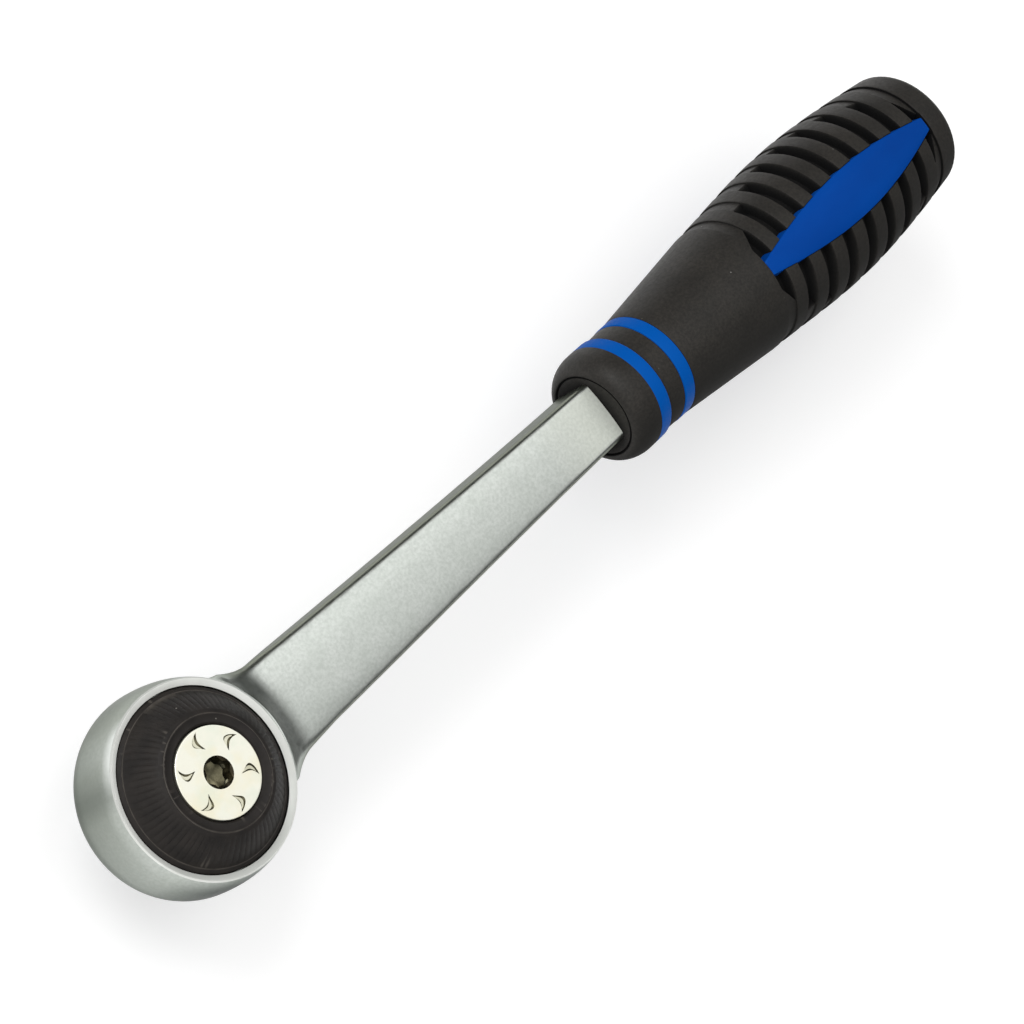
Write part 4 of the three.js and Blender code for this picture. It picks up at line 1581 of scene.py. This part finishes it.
@dataclass
class Drive:
    """The square drive with its spindle, and the ball that holds a socket on it."""

    across: float = 12.7
    length: float = 14.3
    corner: float = 0.85
    corner_steps: int = 7
    end_chamfer: float = 1.2
    end_flat: float = 2.0
    overlap: float = 0.4
    spindle: float = 10.8
    spindle_draft: float = 0.01
    spindle_edge: float = 0.35
    ease: float = 0.2
    seal_ease: float = 0.1
    sides: int = 144
    clear: float = 1.0
    bore_sides: int = 48
    seal_low: float = 15.95
    seal_high: float = 17.45
    seal_radius: float = 9.5
    disc_radius: float = 14.9
    disc_low: float = 19.2
    disc_top: float = 27.7
    hub_radius: float = 12.5
    hub_top: float = 29.2
    boss_radius: float = 6.0
    boss_top: float = 38.54
    slot_half: float = 3.5
    slot_inner: float = 4.2
    slot_outer: float = 18.0
    slot_low: float = 20.8
    screw_bore: float = 3.0
    screw_depth: float = 12.1
    ball_radius: float = 2.3
    ball_bore: float = 2.42
    ball_height: float = 7.0
    ball_proud: float = 0.9
    ball_back: float = 4.2
    ball_steps: int = 25
    ball_sides: int = 48
    ball_sharp: float = 80.0
    detent_bore: float = 1.5
    detent_orbit: float = 10.0
    detent_angle: float = 18.0
    detent_depth: float = 6.0

    def square(self) -> Piece:
        """Builds the square with rounded edges and a chamfered end.

        Returns:
            The solid.
        """
        chamfer = self.end_chamfer
        profile = eased([
            (chamfer + self.end_flat, 0.0, 0.0),
            (chamfer, 0.0, 0.25),
            (0.0, chamfer, 0.35),
            (0.0, self.length + self.overlap, 0.0),
        ])
        rows = []
        for inset, high in profile:
            half = self.across / 2 - inset
            rows.append([(x, y, high) for x, y in self.outline(half)])
        draft = Draft()
        numbers = draft.sheet(np.array(rows))
        for end in (0, -1):
            draft.cap(numbers[end])
        return draft.finish("square")

    def outline(self, half: float) -> Profile:
        """Gives a square outline with rounded corners.

        Args:
            half: Half of its width.

        Returns:
            The outline's points.
        """
        points: Profile = []
        inner = half - self.corner
        for quarter in range(4):
            turn = math.radians(45 + 90 * quarter)
            middle = (math.copysign(inner, math.cos(turn)), math.copysign(inner, math.sin(turn)))
            for part in np.linspace(-45, 45, self.corner_steps):
                angle = turn + math.radians(part)
                points.append((
                    middle[0] + self.corner * math.cos(angle),
                    middle[1] + self.corner * math.sin(angle),
                ))
        return points

    def cuts(self) -> Piece:
        """Builds the solids cut away for the pawls, the screw, the ball and the detent.

        Returns:
            The solids as one object.
        """
        draft = Draft()
        for side in (1, -1):
            near, far = sorted((side * self.slot_inner, side * self.slot_outer))
            half = self.slot_half
            outline = [(-half, near), (half, near), (half, far), (-half, far)]
            draft.prism(outline, self.slot_low, self.hub_top + self.clear)
        bore = circle(self.screw_bore, self.bore_sides)
        draft.prism(bore, self.boss_top - self.screw_depth, self.boss_top + self.clear)
        pit = circle(self.detent_bore, self.bore_sides, on_orbit(self.detent_orbit, self.detent_angle))
        draft.prism(pit, self.hub_top - self.detent_depth, self.hub_top + self.clear)
        spin = np.linspace(0, 2 * math.pi, self.bore_sides, endpoint=False)
        rows = []
        for y in (-self.across, self.ball_back):
            wide = self.ball_bore * np.cos(spin)
            high = self.ball_height + self.ball_bore * np.sin(spin)
            rows.append(np.column_stack((wide, np.full(len(spin), y), high)))
        numbers = draft.sheet(np.array(rows))
        for ring in numbers:
            draft.cap(ring)
        return draft.finish("cuts")

    def build(self, steel: Finish, bright: Finish) -> None:
        """Builds the drive and its ball.

        Args:
            steel: The drive's finish.
            bright: The ball's finish.
        """
        corners: list[Corner] = [
            (0.0, self.length, 0.0),
            (self.spindle - self.spindle_draft, self.length, self.spindle_edge),
            (self.spindle, self.seal_low, self.seal_ease),
            (self.seal_radius, self.seal_low, self.seal_ease),
            (self.seal_radius, self.seal_high, self.seal_ease),
            (self.spindle, self.seal_high, self.seal_ease),
            (self.spindle, self.disc_low, self.ease),
            (self.disc_radius, self.disc_low, self.ease),
            (self.disc_radius, self.disc_top, self.ease),
            (self.hub_radius, self.disc_top, self.ease),
            (self.hub_radius, self.hub_top, self.ease),
            (self.boss_radius, self.hub_top, self.ease),
            (self.boss_radius, self.boss_top, self.ease),
            (0.0, self.boss_top, 0.0),
        ]
        draft = Draft()
        draft.turned(eased(corners, 3), self.sides)
        piece = draft.finish("square_drive")
        carve(piece, self.square(), Cut.JOIN)
        carve(piece, self.cuts(), Cut.AWAY)
        dress(piece, Body.DRIVE, Slot.TOOL_STEEL, steel, "drive_core")
        self.ball(bright)

    def ball(self, bright: Finish) -> None:
        """Builds the ball that stands proud of the square's side.

        Args:
            bright: Its finish.
        """
        middle = -(self.across / 2 + self.ball_proud - self.ball_radius)
        arc = np.linspace(0, math.pi, self.ball_steps)
        radius = self.ball_radius
        profile = [(radius * math.sin(a), self.ball_height - radius * math.cos(a)) for a in arc]
        draft = Draft()
        draft.turned(profile, self.ball_sides)
        for points in draft.points:
            points[:, 1] += middle
        piece = draft.finish("catch_ball", self.ball_sharp)
        dress(piece, Body.CATCH, Slot.BRIGHT_BALL, bright, "socket_ball")


@dataclass
class Grip:
    """The two-part grip: a blue core that shows as rings and inlays, under soft black mouldings."""

    nose_front: float = 122.4
    nose_face: float = 9.6
    nose_full: float = 128.5
    nose_radius: float = 12.4
    nose_set: float = 1.15
    nose_bulge: float = 1.9
    ring_one: float = 130.0
    band_front: float = 133.4
    band_back: float = 138.6
    ring_two_end: float = 141.8
    band_low: float = 11.85
    band_high: float = 12.05
    ring_two: float = 12.15
    waist: float = 12.2
    cone_end: float = 170.0
    cone: float = 15.1
    swell: float = 1.85
    belly_front: float = 200.0
    belly_back: float = 204.0
    butt_drop: float = 3.15
    end: float = 237.5
    core_radius: float = 9.4
    core_end: float = 232.0
    groove_first: float = 171.0
    groove_pitch: float = 6.7
    groove_growth: float = 0.04
    groove_width: float = 3.15
    groove_depth: float = 2.5
    groove_count: int = 9
    groove_reach: float = 77.5
    groove_middle: float = 200.3
    groove_span: float = 30.0
    groove_power: float = 2.1
    groove_tail: float = 0.45
    groove_slant: float = 0.3
    groove_play: float = 0.35
    groove_edge: tuple[Pair, ...] = (
        (-0.3, 0.0), (-0.08, 0.02), (0.06, 0.16), (0.14, 0.8), (0.3, 0.97), (0.6, 1.0)
    )
    rib_parts: tuple[float, ...] = (0.3, 0.5, 0.7)
    run_out: float = 3.0
    slot_least: float = 2.0
    inlay_front: float = 171.0
    inlay_end: float = 230.0
    inlay_angle: float = 6.3
    inlay_bulge: float = 12.6
    inlay_sunk: float = 0.12
    inlay_lean: float = 4.5
    inlay_gap: float = 0.06
    inlay_step: float = 0.12
    inlay_rows: int = 61
    inlay_play: float = 0.25
    inlay_foot: float = 0.5
    inlay_end_drop: float = 0.14
    inlay_places: tuple[float, ...] = (0.0, 0.3, 0.6, 0.94, 0.985, 1.0)
    inlay_drops: tuple[float, ...] = (0.0, 0.0, 0.0, 0.0, 0.05, 0.16)
    window_depth: float = 2.7
    window_edge: float = 0.6
    window_play: float = 0.3
    butt_power: float = 1.5
    butt_round: float = 2.6
    dish_rim: float = 0.72
    dish_floor: float = 0.7
    dish_middle: float = 0.3
    dish_depth: float = 0.3
    gap: float = 0.05
    core_set: float = 4.0
    nose_depth: float = 3.9
    band_play: float = 0.02
    band_ease: float = 0.25
    sides: int = 192
    sharp: float = 40.0
    sleeve_sharp: float = 42.0

    def barrel(self, x: float) -> float:
        """Gives the soft sleeve's radius.

        Args:
            x: Place along the handle.

        Returns:
            The radius there.
        """
        if x < self.cone_end:
            share = (x - self.ring_two_end) / (self.cone_end - self.ring_two_end)
            return self.waist + (self.cone - self.waist) * share
        part = min(1.0, (x - self.cone_end) / (self.belly_front - self.cone_end))
        rise = (math.sin(part * math.pi / 2) + part * part * (3 - 2 * part)) / 2
        tail = max(0.0, x - self.belly_back) / (self.end - self.belly_back)
        return self.cone + self.swell * rise - self.butt_drop * tail ** self.butt_power

    def inlay_half(self, x: float) -> float:
        """Gives half of the angle that an inlay covers.

        Args:
            x: Place along the handle.

        Returns:
            The angle in degrees.
        """
        middle = (self.inlay_front + self.inlay_end) / 2
        reach = (x - middle) / ((self.inlay_end - self.inlay_front) / 2)
        return self.inlay_angle + self.inlay_bulge * max(0.0, 1 - reach ** 2)

    def groove(self, index: float) -> float:
        """Gives where a groove starts: the ribs get a little wider towards the butt."""
        return self.groove_first + self.groove_pitch * index + self.groove_growth * index ** 2

    def oval(self, x: float) -> float:
        """Gives half of the angle in degrees that the oval round the inlay covers at a place."""
        off = min(abs(x - self.groove_middle) / self.groove_span, 1.0)
        return self.groove_reach * (1 - off ** self.groove_power) ** (1 / self.groove_power)

    def slot_half(self, x: float) -> float:
        """Gives half of the angle over which a groove is deep: it ends at the oval round the inlay.

        Args:
            x: Place along the handle.

        Returns:
            The angle in degrees.
        """
        places = []
        reach = []
        for index in range(self.groove_count):
            ends = (self.groove(index), self.groove(index) + self.groove_width)
            middle = self.oval(sum(ends) / 2)
            slant = 1.0 if index in (0, self.groove_count - 1) else self.groove_slant
            for end, shift in zip(ends, (-self.groove_play, self.groove_play)):
                places.append(end + shift)
                reach.append(middle + slant * (self.oval(end) - middle))
        return float(np.interp(x, places, reach))

    def ramp(self, x: float) -> float:
        """Gives how far into a groove a place lies.

        Args:
            x: Place along the handle.

        Returns:
            Zero at the groove's front and one at its back.
        """
        starts = [self.groove(index) for index in range(self.groove_count)]
        into = x - max((start for start in starts if start <= x), default=x)
        return min(into / self.groove_width, 1.0)

    def stations(self) -> Profile:
        """Gives the places along the sleeve that need points, with how deep a groove is there.

        Returns:
            Places and shares of the groove's depth.
        """
        places = [(x, 0.0) for x in np.linspace(self.ring_two_end + 0.5, self.cone_end, 15)]
        for index in range(self.groove_count):
            start = self.groove(index)
            end = start + self.groove_width
            places += [(start + shift, share) for shift, share in self.groove_edge]
            places.append(((start + end) / 2, 1.0))
            places += [(end - shift, share) for shift, share in reversed(self.groove_edge)]
            rib = self.groove(index + 1) - end
            places += [(end + rib * part, 0.0) for part in self.rib_parts]
        last = self.end - self.butt_round
        places += [(self.inlay_end + 0.04, 0.0), (last - 0.5, 0.0), (last - 0.05, 0.0)]
        return [place for place in sorted(places) if place[0] < last]

    def angles(self, x: float) -> np.ndarray:
        """Gives the angles at which a row of the sleeve has points.

        Args:
            x: Place along the handle.

        Returns:
            Angles in degrees from the top, once round.
        """
        inlay = self.inlay_half(min(max(x, self.inlay_front), self.inlay_end))
        slot = max(self.slot_half(x), inlay + self.run_out + self.slot_least)
        quarter = np.concatenate((
            np.linspace(0, inlay - self.window_edge, 5)[:-1],
            np.linspace(inlay - self.window_edge, inlay, 2)[:-1],
            np.linspace(inlay, slot - self.run_out, 13)[:-1],
            np.linspace(slot - self.run_out, slot, 9)[:-1],
            np.linspace(slot, 90, 15)[:-1],
        ))
        half = np.concatenate((quarter, 180 - np.append(quarter, 90.0)[:0:-1]))
        return np.concatenate((half, half + 180))

    def sleeve_row(self, x: float, share: float) -> np.ndarray:
        """Gives a row of points on the sleeve, with its groove and its window for the inlay.

        Args:
            x: Place along the handle.
            share: How deep the groove is there, from zero to one.

        Returns:
            The row's points.
        """
        angles = self.angles(x)
        from_pole = np.minimum(np.abs((angles + 90) % 180 - 90), 90)
        slot = max(self.slot_half(x), self.inlay_half(x) + self.run_out + self.slot_least)
        ended = smooth(slot - self.run_out, slot, from_pole)
        tail = self.groove_tail * self.ramp(x)
        depth = share * (self.groove_depth * (1 - ended) + tail * ended)
        if self.inlay_front <= x <= self.inlay_end:
            depth = np.where(from_pole < self.inlay_half(x) - self.window_play, self.window_depth, depth)
        return round_row(self.barrel(x) - depth, x, np.radians(angles), Turn.HANDLE_AXIS)

    def sleeve(self, finish: Finish) -> None:
        """Builds the ribbed sleeve with its grooves, its windows and its rounded butt.

        Args:
            finish: Its moulding.
        """
        def plain(radius: float, x: float) -> np.ndarray:
            """Gives a plain row in line with the ribbed ones."""
            return round_row(radius, x, np.radians(self.angles(x)), Turn.HANDLE_AXIS)

        rounding = self.butt_round
        butt = self.barrel(self.end - rounding)
        front = self.ring_two_end
        inside = [plain(self.core_radius + self.gap, x) for x in (self.core_end, front)]
        face = [plain(self.waist - 0.35, front), plain(self.waist - 0.1, front + 0.1)]
        outside = [self.sleeve_row(x, share) for x, share in self.stations()]
        turn = np.linspace(0, math.pi / 2, 9)
        inner = butt - rounding
        ending = [
            plain(inner + rounding * math.cos(a), self.end - rounding * (1 - math.sin(a))) for a in turn
        ]
        dish = [
            plain(inner * self.dish_rim, self.end),
            plain(inner * self.dish_floor, self.end - self.dish_depth),
            plain(inner * self.dish_middle, self.end - self.dish_depth),
        ]
        draft = Draft()
        numbers = draft.sheet(np.array(inside + face + outside + ending + dish))
        draft.fan(numbers[0], (self.core_end, 0, AXIS_HEIGHT))
        draft.fan(numbers[-1], (self.end - self.dish_depth, 0, AXIS_HEIGHT))
        piece = draft.finish("ribbed_sleeve", self.sleeve_sharp)
        dress(piece, Body.HANDLE, Slot.SOFT_BLACK, finish, "grip_sleeve")

    def inlay(self, draft: Draft, pole: float) -> None:
        """Adds one long inlay to the core.

        Args:
            draft: The core's draft.
            pole: Angle of its middle line from the top, in degrees.
        """
        ends = (self.inlay_front + self.inlay_gap, self.inlay_end - self.inlay_gap)
        places = np.concatenate((
            [ends[0]],
            np.linspace(ends[0] + self.inlay_step, ends[1] - self.inlay_step, self.inlay_rows),
            [ends[1]],
        ))
        right = np.array(self.inlay_places)
        across = np.concatenate((-right[:0:-1], right))
        drop = np.array((*self.inlay_drops[:0:-1], *self.inlay_drops))
        rows = []
        for x in places:
            half = math.radians(self.inlay_half(x) - self.inlay_play)
            foot = half + math.radians(self.inlay_lean)
            turn = np.concatenate((across * half, across[::-1] * foot)) + math.radians(pole)
            high = self.barrel(x) - self.inlay_sunk
            end = self.inlay_end_drop if x in ends else 0.0
            low = np.full(len(across), high - self.window_depth - self.inlay_foot)
            rows.append(round_row(np.concatenate((high - drop - end, low)), x, turn, Turn.HANDLE_AXIS))
        numbers = draft.sheet(np.array(rows))
        for row in (0, -1):
            draft.cap(numbers[row])

    def core(self, finish: Finish) -> None:
        """Builds the blue core with its two rings and two inlays.

        Args:
            finish: Its moulding.
        """
        low = self.core_radius
        corners: list[Corner] = [
            (0.0, self.nose_front + self.core_set, 0.0),
            (low, self.nose_front + self.core_set, 0.2),
            (low, self.ring_one, 0.1),
            (self.nose_radius, self.ring_one, 0.18),
            (self.nose_radius - 0.04, self.band_front, 0.3),
            (low, self.band_front, 0.1),
            (low, self.band_back, 0.1),
            (self.ring_two, self.band_back, 0.3),
            (self.ring_two, self.ring_two_end, 0.12),
            (low, self.ring_two_end, 0.1),
            (low, self.core_end - 2 * self.gap, 0.3),
            (0.0, self.core_end - 2 * self.gap, 0.0),
        ]
        draft = Draft()
        draft.turned(eased(corners), self.sides, Turn.HANDLE_AXIS)
        for pole in (0.0, 180.0):
            self.inlay(draft, pole)
        dress(draft.finish("blue_core", self.sharp), Body.HANDLE, Slot.BLUE, finish, "grip_core")

    def nose(self, finish: Finish) -> None:
        """Builds the rounded front collar with its stepped face round the shank.

        Args:
            finish: Its moulding.
        """
        turn = np.linspace(0, math.pi / 2, 17)
        front = self.nose_front + self.nose_set
        wide = self.nose_radius - self.nose_face
        deep = self.nose_full - front
        power = 2 / self.nose_bulge
        bulge = [
            (
                self.nose_face + wide * math.sin(a) ** power,
                self.nose_full - deep * max(math.cos(a), 0.0) ** power,
            )
            for a in turn
        ]
        face: Profile = eased([
            (0.0, front + 0.12, 0.0),
            (self.nose_face - 0.62, front + 0.12, 0.08),
            (self.nose_face - 0.48, front + 0.6, 0.05),
            (self.nose_face - 0.3, front + 0.6, 0.05),
            (self.nose_face - 0.16, front + 0.03, 0.08),
            (self.nose_face, front, 0.0),
        ])
        back: Profile = eased([
            (self.nose_radius, self.ring_one - 0.02, 0.0),
            (self.nose_radius - 0.1, self.ring_one, 0.0),
            (self.core_radius + self.gap, self.ring_one, 0.0),
            (self.core_radius + self.gap, self.nose_front + self.nose_depth, 0.0),
            (0.0, self.nose_front + self.nose_depth, 0.0),
        ])
        draft = Draft()
        draft.turned(face[:-1] + bulge + back, self.sides, Turn.HANDLE_AXIS)
        piece = draft.finish("grip_collar", self.sharp)
        dress(piece, Body.HANDLE, Slot.SOFT_BLACK, finish, "grip_nose")

    def band(self, finish: Finish) -> None:
        """Builds the black band between the blue rings, a little lower than they are.

        Args:
            finish: Its moulding.
        """
        low = self.core_radius + self.gap
        front = self.band_front + self.band_play
        back = self.band_back - self.band_play
        corners: list[Corner] = [
            (low, front, 0.0),
            (self.band_low, front, self.band_ease),
            (self.band_high, back, self.band_ease),
            (low, back, 0.0),
        ]
        draft = Draft()
        draft.turned(eased(corners), self.sides, Turn.HANDLE_AXIS, ring=True)
        piece = draft.finish("black_band", self.sharp)
        dress(piece, Body.HANDLE, Slot.SOFT_BLACK, finish, "grip_band")

    def build(self, soft: Finish, blue: Finish) -> None:
        """Builds the whole grip.

        Args:
            soft: Finish of the black mouldings.
            blue: Finish of the core.
        """
        self.nose(soft)
        self.band(soft)
        self.sleeve(soft)
        self.core(blue)


@dataclass
class Coil:
    """A helical spring that stands in the drive core and pushes a piece out."""

    name: str
    node: str
    pushed: Body
    along: Point
    wire: float
    turns: int
    sides: int = 10
    steps: int = 24
    end_pitch: float = 2.2

    def rings(self, low: np.ndarray, high: np.ndarray) -> np.ndarray:
        """Gives the circles of the wire, from the fixed end to the pushed end.

        Args:
            low: The lowest corner of the spring's room.
            high: Its highest corner.

        Returns:
            Points in rows, one row for each circle.
        """
        axis = np.array(self.along)
        aside = np.array((1.0, 0.0, 0.0))
        over = np.cross(axis, aside)
        length = float((high - low) @ np.abs(axis))
        radius = float(high[0] - low[0]) / 2 - self.wire
        turn = np.linspace(0, self.turns, self.turns * self.steps + 1)
        closed = self.wire * (1 + self.end_pitch)
        rise = np.interp(
            turn,
            (0, 1, self.turns - 1, self.turns),
            (self.wire, closed, length - closed, length - self.wire),
        )
        spin = 2 * math.pi * turn[:, None]
        outward = np.cos(spin) * aside + np.sin(spin) * over
        middle = (low + high) / 2 + (rise[:, None] - length / 2) * axis + radius * outward
        around = np.linspace(0, 2 * math.pi, self.sides, endpoint=False)[None, :, None]
        wall = np.cos(around) * outward[:, None, :] + np.sin(around) * axis
        return middle[:, None, :] + self.wire * wall

    def build(self, finish: Finish) -> None:
        """Builds the spring to fill its solid's box, and hides the solid.

        Args:
            finish: Its steel.
        """
        low, high = (np.array(corner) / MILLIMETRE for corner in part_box(self.node))
        draft = Draft()
        rows = self.rings(low, high)
        numbers = draft.sheet(rows)
        draft.fan(numbers[0], rows[0].mean(axis=0))
        draft.fan(numbers[-1], rows[-1].mean(axis=0))
        piece = draft.finish(self.name)
        piece.data.materials.append(finish)
        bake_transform(piece)
        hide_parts(self.node)
        LOG.info("%s: %d faces up to %s", piece.name, len(piece.data.polygons), self.pushed.value)


@dataclass
class Springs:
    """The four springs of the drive core."""

    pawl_wire: float = 0.3
    pawl_turns: int = 5
    catch_wire: float = 0.32
    click_wire: float = 0.25
    turns: int = 4

    def build(self, finish: Finish) -> None:
        """Builds the springs behind the pawls, the catch ball and the click ball.

        Args:
            finish: Their steel.
        """
        left = (0.0, 1.0, 0.0)
        right = (0.0, -1.0, 0.0)
        up = (0.0, 0.0, 1.0)
        pawl_coil = (self.pawl_wire, self.pawl_turns)
        coils = (
            Coil("left_spring", "pawl_spring_left", Body.LEFT_PAWL, left, *pawl_coil),
            Coil("right_spring", "pawl_spring_right", Body.RIGHT_PAWL, right, *pawl_coil),
            Coil("catch_spring", "socket_ball_spring", Body.CATCH, right, self.catch_wire, self.turns),
            Coil("click_spring", "detent_spring", Body.CLICK, up, self.click_wire, self.turns),
        )
        for coil in coils:
            coil.build(finish)


@dataclass
class Works:
    """The solids inside the head that are kept as they are and get their finishes here."""

    tool_steel: tuple[str, ...] = ("pawl_left", "pawl_right", "cam_plate")
    spring_steel: tuple[str, ...] = ("snap_ring", "wave_washer")
    brass: tuple[str, ...] = ("thrust_washer",)
    seal: tuple[str, ...] = ("spindle_seal",)
    bright: tuple[str, ...] = ("detent_ball",)

    def dress(self, nodes: dict[str, Piece], finishes: dict[Slot, Finish]) -> None:
        """Assigns each inner piece its finish.

        Args:
            nodes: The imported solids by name.
            finishes: The finishes by slot.
        """
        groups = {
            Slot.TOOL_STEEL: self.tool_steel,
            Slot.SPRING_STEEL: self.spring_steel,
            Slot.BRASS: self.brass,
            Slot.SEAL: self.seal,
            Slot.BRIGHT_BALL: self.bright,
        }
        for slot, names in groups.items():
            for name in names:
                mesh = nodes[name].data
                mesh.materials.clear()
                mesh.materials.append(finishes[slot])
                LOG.info("%s: %s", name, slot.value)


@dataclass(frozen=True)
class Lamp:
    """One square soft lamp: its place and width in metres and its power in watts."""

    name: str
    place: Point
    size: float
    power: float

    def build(self, target: Point) -> None:
        """Adds the lamp.

        Args:
            target: The point that it faces.
        """
        light = bpy.data.lights.new(self.name, "AREA")
        light.size = self.size
        light.energy = self.power
        aim(placed(self.name, light), self.place, target)


@dataclass
class Studio:
    """The pale floor, the soft lamps, the surroundings and the camera."""

    floor_half: float = 4.0
    floor_height: float = -0.0005
    floor_colour: Colour = (0.76, 0.76, 0.76)
    floor_glow: float = 0.4
    sky_low: float = 0.07
    sky_high: float = 1.5
    sky_front: float = 0.75
    sky_rise: Pair = (0.35, 0.75)
    sky_right: Pair = (-0.62, -0.34)
    sky_lean: Pair = (-0.2, 0.25)
    sky_left: Pair = (0.25, 0.55)
    right_level: float = 0.25
    lean_level: float = 0.62
    left_level: float = 0.15
    front_ends: Pair = (-0.85, -0.4)
    lamps: tuple[Lamp, ...] = (
        Lamp("key_lamp", (-0.25, 0.75, 0.9), 0.6, 6.0),
        Lamp("fill_lamp", (-0.1, -0.85, 0.55), 0.7, 0.8),
    )
    lamp_target: Point = (0.1, 0.0, 0.03)
    camera_place: Point = (-0.385636, 0.101619, 0.708815)
    camera_target: Point = (0.072994, 0.001493, 0.061024)
    camera_roll: float = 62.17
    camera_lens: float = 149.266
    camera_sensor: float = 36.0
    camera_reach: Pair = (0.01, 50.0)

    def floor(self) -> None:
        """Builds the white floor, which keeps the object's shadow."""
        half = self.floor_half
        mesh = bpy.data.meshes.new("floor")
        corners = [(-half, -half), (half, -half), (half, half), (-half, half)]
        mesh.from_pydata([(x, y, self.floor_height) for x, y in corners], [], [(0, 1, 2, 3)])
        piece = placed("floor", mesh)
        recipe = Recipe("pale_floor")
        tree = recipe.tree
        recipe.set(base_color=self.floor_colour, roughness=0.9, specular_ior_level=0.0)
        glow = tree.nodes.new("ShaderNodeEmission")
        glow.inputs["Strength"].default_value = self.floor_glow
        dark = tree.nodes.new("ShaderNodeEmission")
        dark.inputs["Strength"].default_value = 0.0
        choose = tree.nodes.new("ShaderNodeMixShader")
        both = tree.nodes.new("ShaderNodeAddShader")
        tree.links.new(seen_rays(tree), choose.inputs[0])
        tree.links.new(dark.outputs[0], choose.inputs[1])
        tree.links.new(glow.outputs[0], choose.inputs[2])
        tree.links.new(recipe.shader.outputs[0], both.inputs[0])
        tree.links.new(choose.outputs[0], both.inputs[1])
        tree.links.new(both.outputs[0], tree.nodes["Material Output"].inputs["Surface"])
        mesh.materials.append(recipe.material)

    def surroundings(self) -> None:
        """Sets the soft light from above, one wide panel with soft edges, and white for the camera."""
        world = bpy.data.worlds.new("studio")
        bpy.context.scene.world = world
        world.use_nodes = True
        tree = world.node_tree
        apart = tree.nodes.new("ShaderNodeSeparateXYZ")
        tree.links.new(tree.nodes.new("ShaderNodeTexCoord").outputs["Generated"], apart.inputs[0])

        def fade(axis: str, ends: Pair, levels: Pair) -> Socket:
            """Adds a gentle change from one level to another along an axis."""
            return mapped(tree, apart.outputs[axis], ends, levels, gentle=True)

        sides = combined(
            tree,
            "MULTIPLY",
            fade("Y", self.sky_right, (self.right_level, 1.0)),
            fade("Y", self.sky_left, (1.0, self.left_level)),
            fade("Y", self.sky_lean, (self.lean_level, 1.0)),
        )
        panel = combined(tree, "MULTIPLY", fade("Z", self.sky_rise, (0.0, 1.0)), sides)
        level = tree.nodes.new("ShaderNodeMapRange")
        level.inputs["To Max"].default_value = self.sky_high
        tree.links.new(panel, level.inputs["Value"])
        tree.links.new(fade("X", self.front_ends, (self.sky_front, self.sky_low)), level.inputs["To Min"])
        soft = tree.nodes["Background"]
        soft.inputs["Color"].default_value = (1, 1, 1, 1)
        rays = tree.nodes.new("ShaderNodeLightPath")
        shown = tree.nodes.new("ShaderNodeMix")
        shown.inputs["B"].default_value = 1.0
        tree.links.new(rays.outputs["Is Camera Ray"], shown.inputs["Factor"])
        tree.links.new(level.outputs["Result"], shown.inputs["A"])
        tree.links.new(shown.outputs["Result"], soft.inputs["Strength"])

    def camera(self) -> None:
        """Sets the camera at the photograph's viewing angle."""
        lens = bpy.data.cameras.new("photo_view")
        lens.sensor_width = self.camera_sensor
        lens.lens = self.camera_lens
        lens.clip_start, lens.clip_end = self.camera_reach
        camera = placed("photo_view", lens)
        aim(camera, self.camera_place, self.camera_target, self.camera_roll)
        bpy.context.scene.camera = camera

    def build(self) -> None:
        """Builds the studio."""
        bpy.context.scene.view_settings.view_transform = "Standard"
        self.floor()
        self.surroundings()
        for lamp in self.lamps:
            lamp.build(self.lamp_target)
        self.camera()


def finishes() -> dict[Slot, Finish]:
    """Makes every finish.

    Returns:
        The materials by slot.
    """
    steel_pale = screen(196, 198, 200)
    steel_shade = screen(170, 172, 175)
    makers = {
        Slot.CHROME: SatinChrome(),
        Slot.TOOL_STEEL: GroundSteel(Slot.TOOL_STEEL, steel_pale, steel_shade),
        Slot.SPRING_STEEL: GroundSteel(Slot.SPRING_STEEL, screen(205, 207, 208), screen(180, 182, 185)),
        Slot.BRIGHT_BALL: GroundSteel(
            Slot.BRIGHT_BALL, screen(226, 227, 228), screen(214, 215, 217), (1.0, 1.0, 1.0), 0.08, 0.14
        ),
        Slot.BRASS: GroundSteel(Slot.BRASS, screen(222, 194, 128), screen(198, 166, 98)),
        Slot.DIAL_BLACK: BlackDial(),
        Slot.ZINC: PaleZinc(),
        Slot.SEAL: SoftBlack(Slot.SEAL, screen(26, 26, 26), screen(34, 34, 34)),
        Slot.SOFT_BLACK: SoftBlack(),
        Slot.BLUE: BlueMoulding(),
    }
    return {slot: maker.make() for slot, maker in makers.items()}


def main() -> None:
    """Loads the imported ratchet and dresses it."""
    logging.basicConfig(level=logging.INFO, format="%(name)s: %(message)s")
    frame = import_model()
    paint = finishes()
    Studio().build()
    Head().build(paint[Slot.CHROME], MachinedLand().make())
    Dial().build(paint[Slot.DIAL_BLACK])
    # The screw's painted shade, from the crescents' floors to the socket's walls.
    pale_painted_shade = PaintedShadeZinc("worn_zinc", screen(206, 203, 178), screen(228, 226, 204)).make()
    deeper_painted_shade = PaintedShadeZinc("dull_zinc", screen(82, 79, 62), screen(128, 123, 98)).make()
    dark = PaintedShadeZinc("dark_socket", screen(20, 18, 14), screen(58, 52, 38)).make()
    Screw().build(paint[Slot.ZINC], pale_painted_shade, deeper_painted_shade, dark)
    Drive().build(paint[Slot.TOOL_STEEL], paint[Slot.BRIGHT_BALL])
    Grip().build(paint[Slot.SOFT_BLACK], paint[Slot.BLUE])
    Springs().build(paint[Slot.SPRING_STEEL])
    Works().dress(frame["nodes"], paint)


if __name__ == "__main__":
    main()
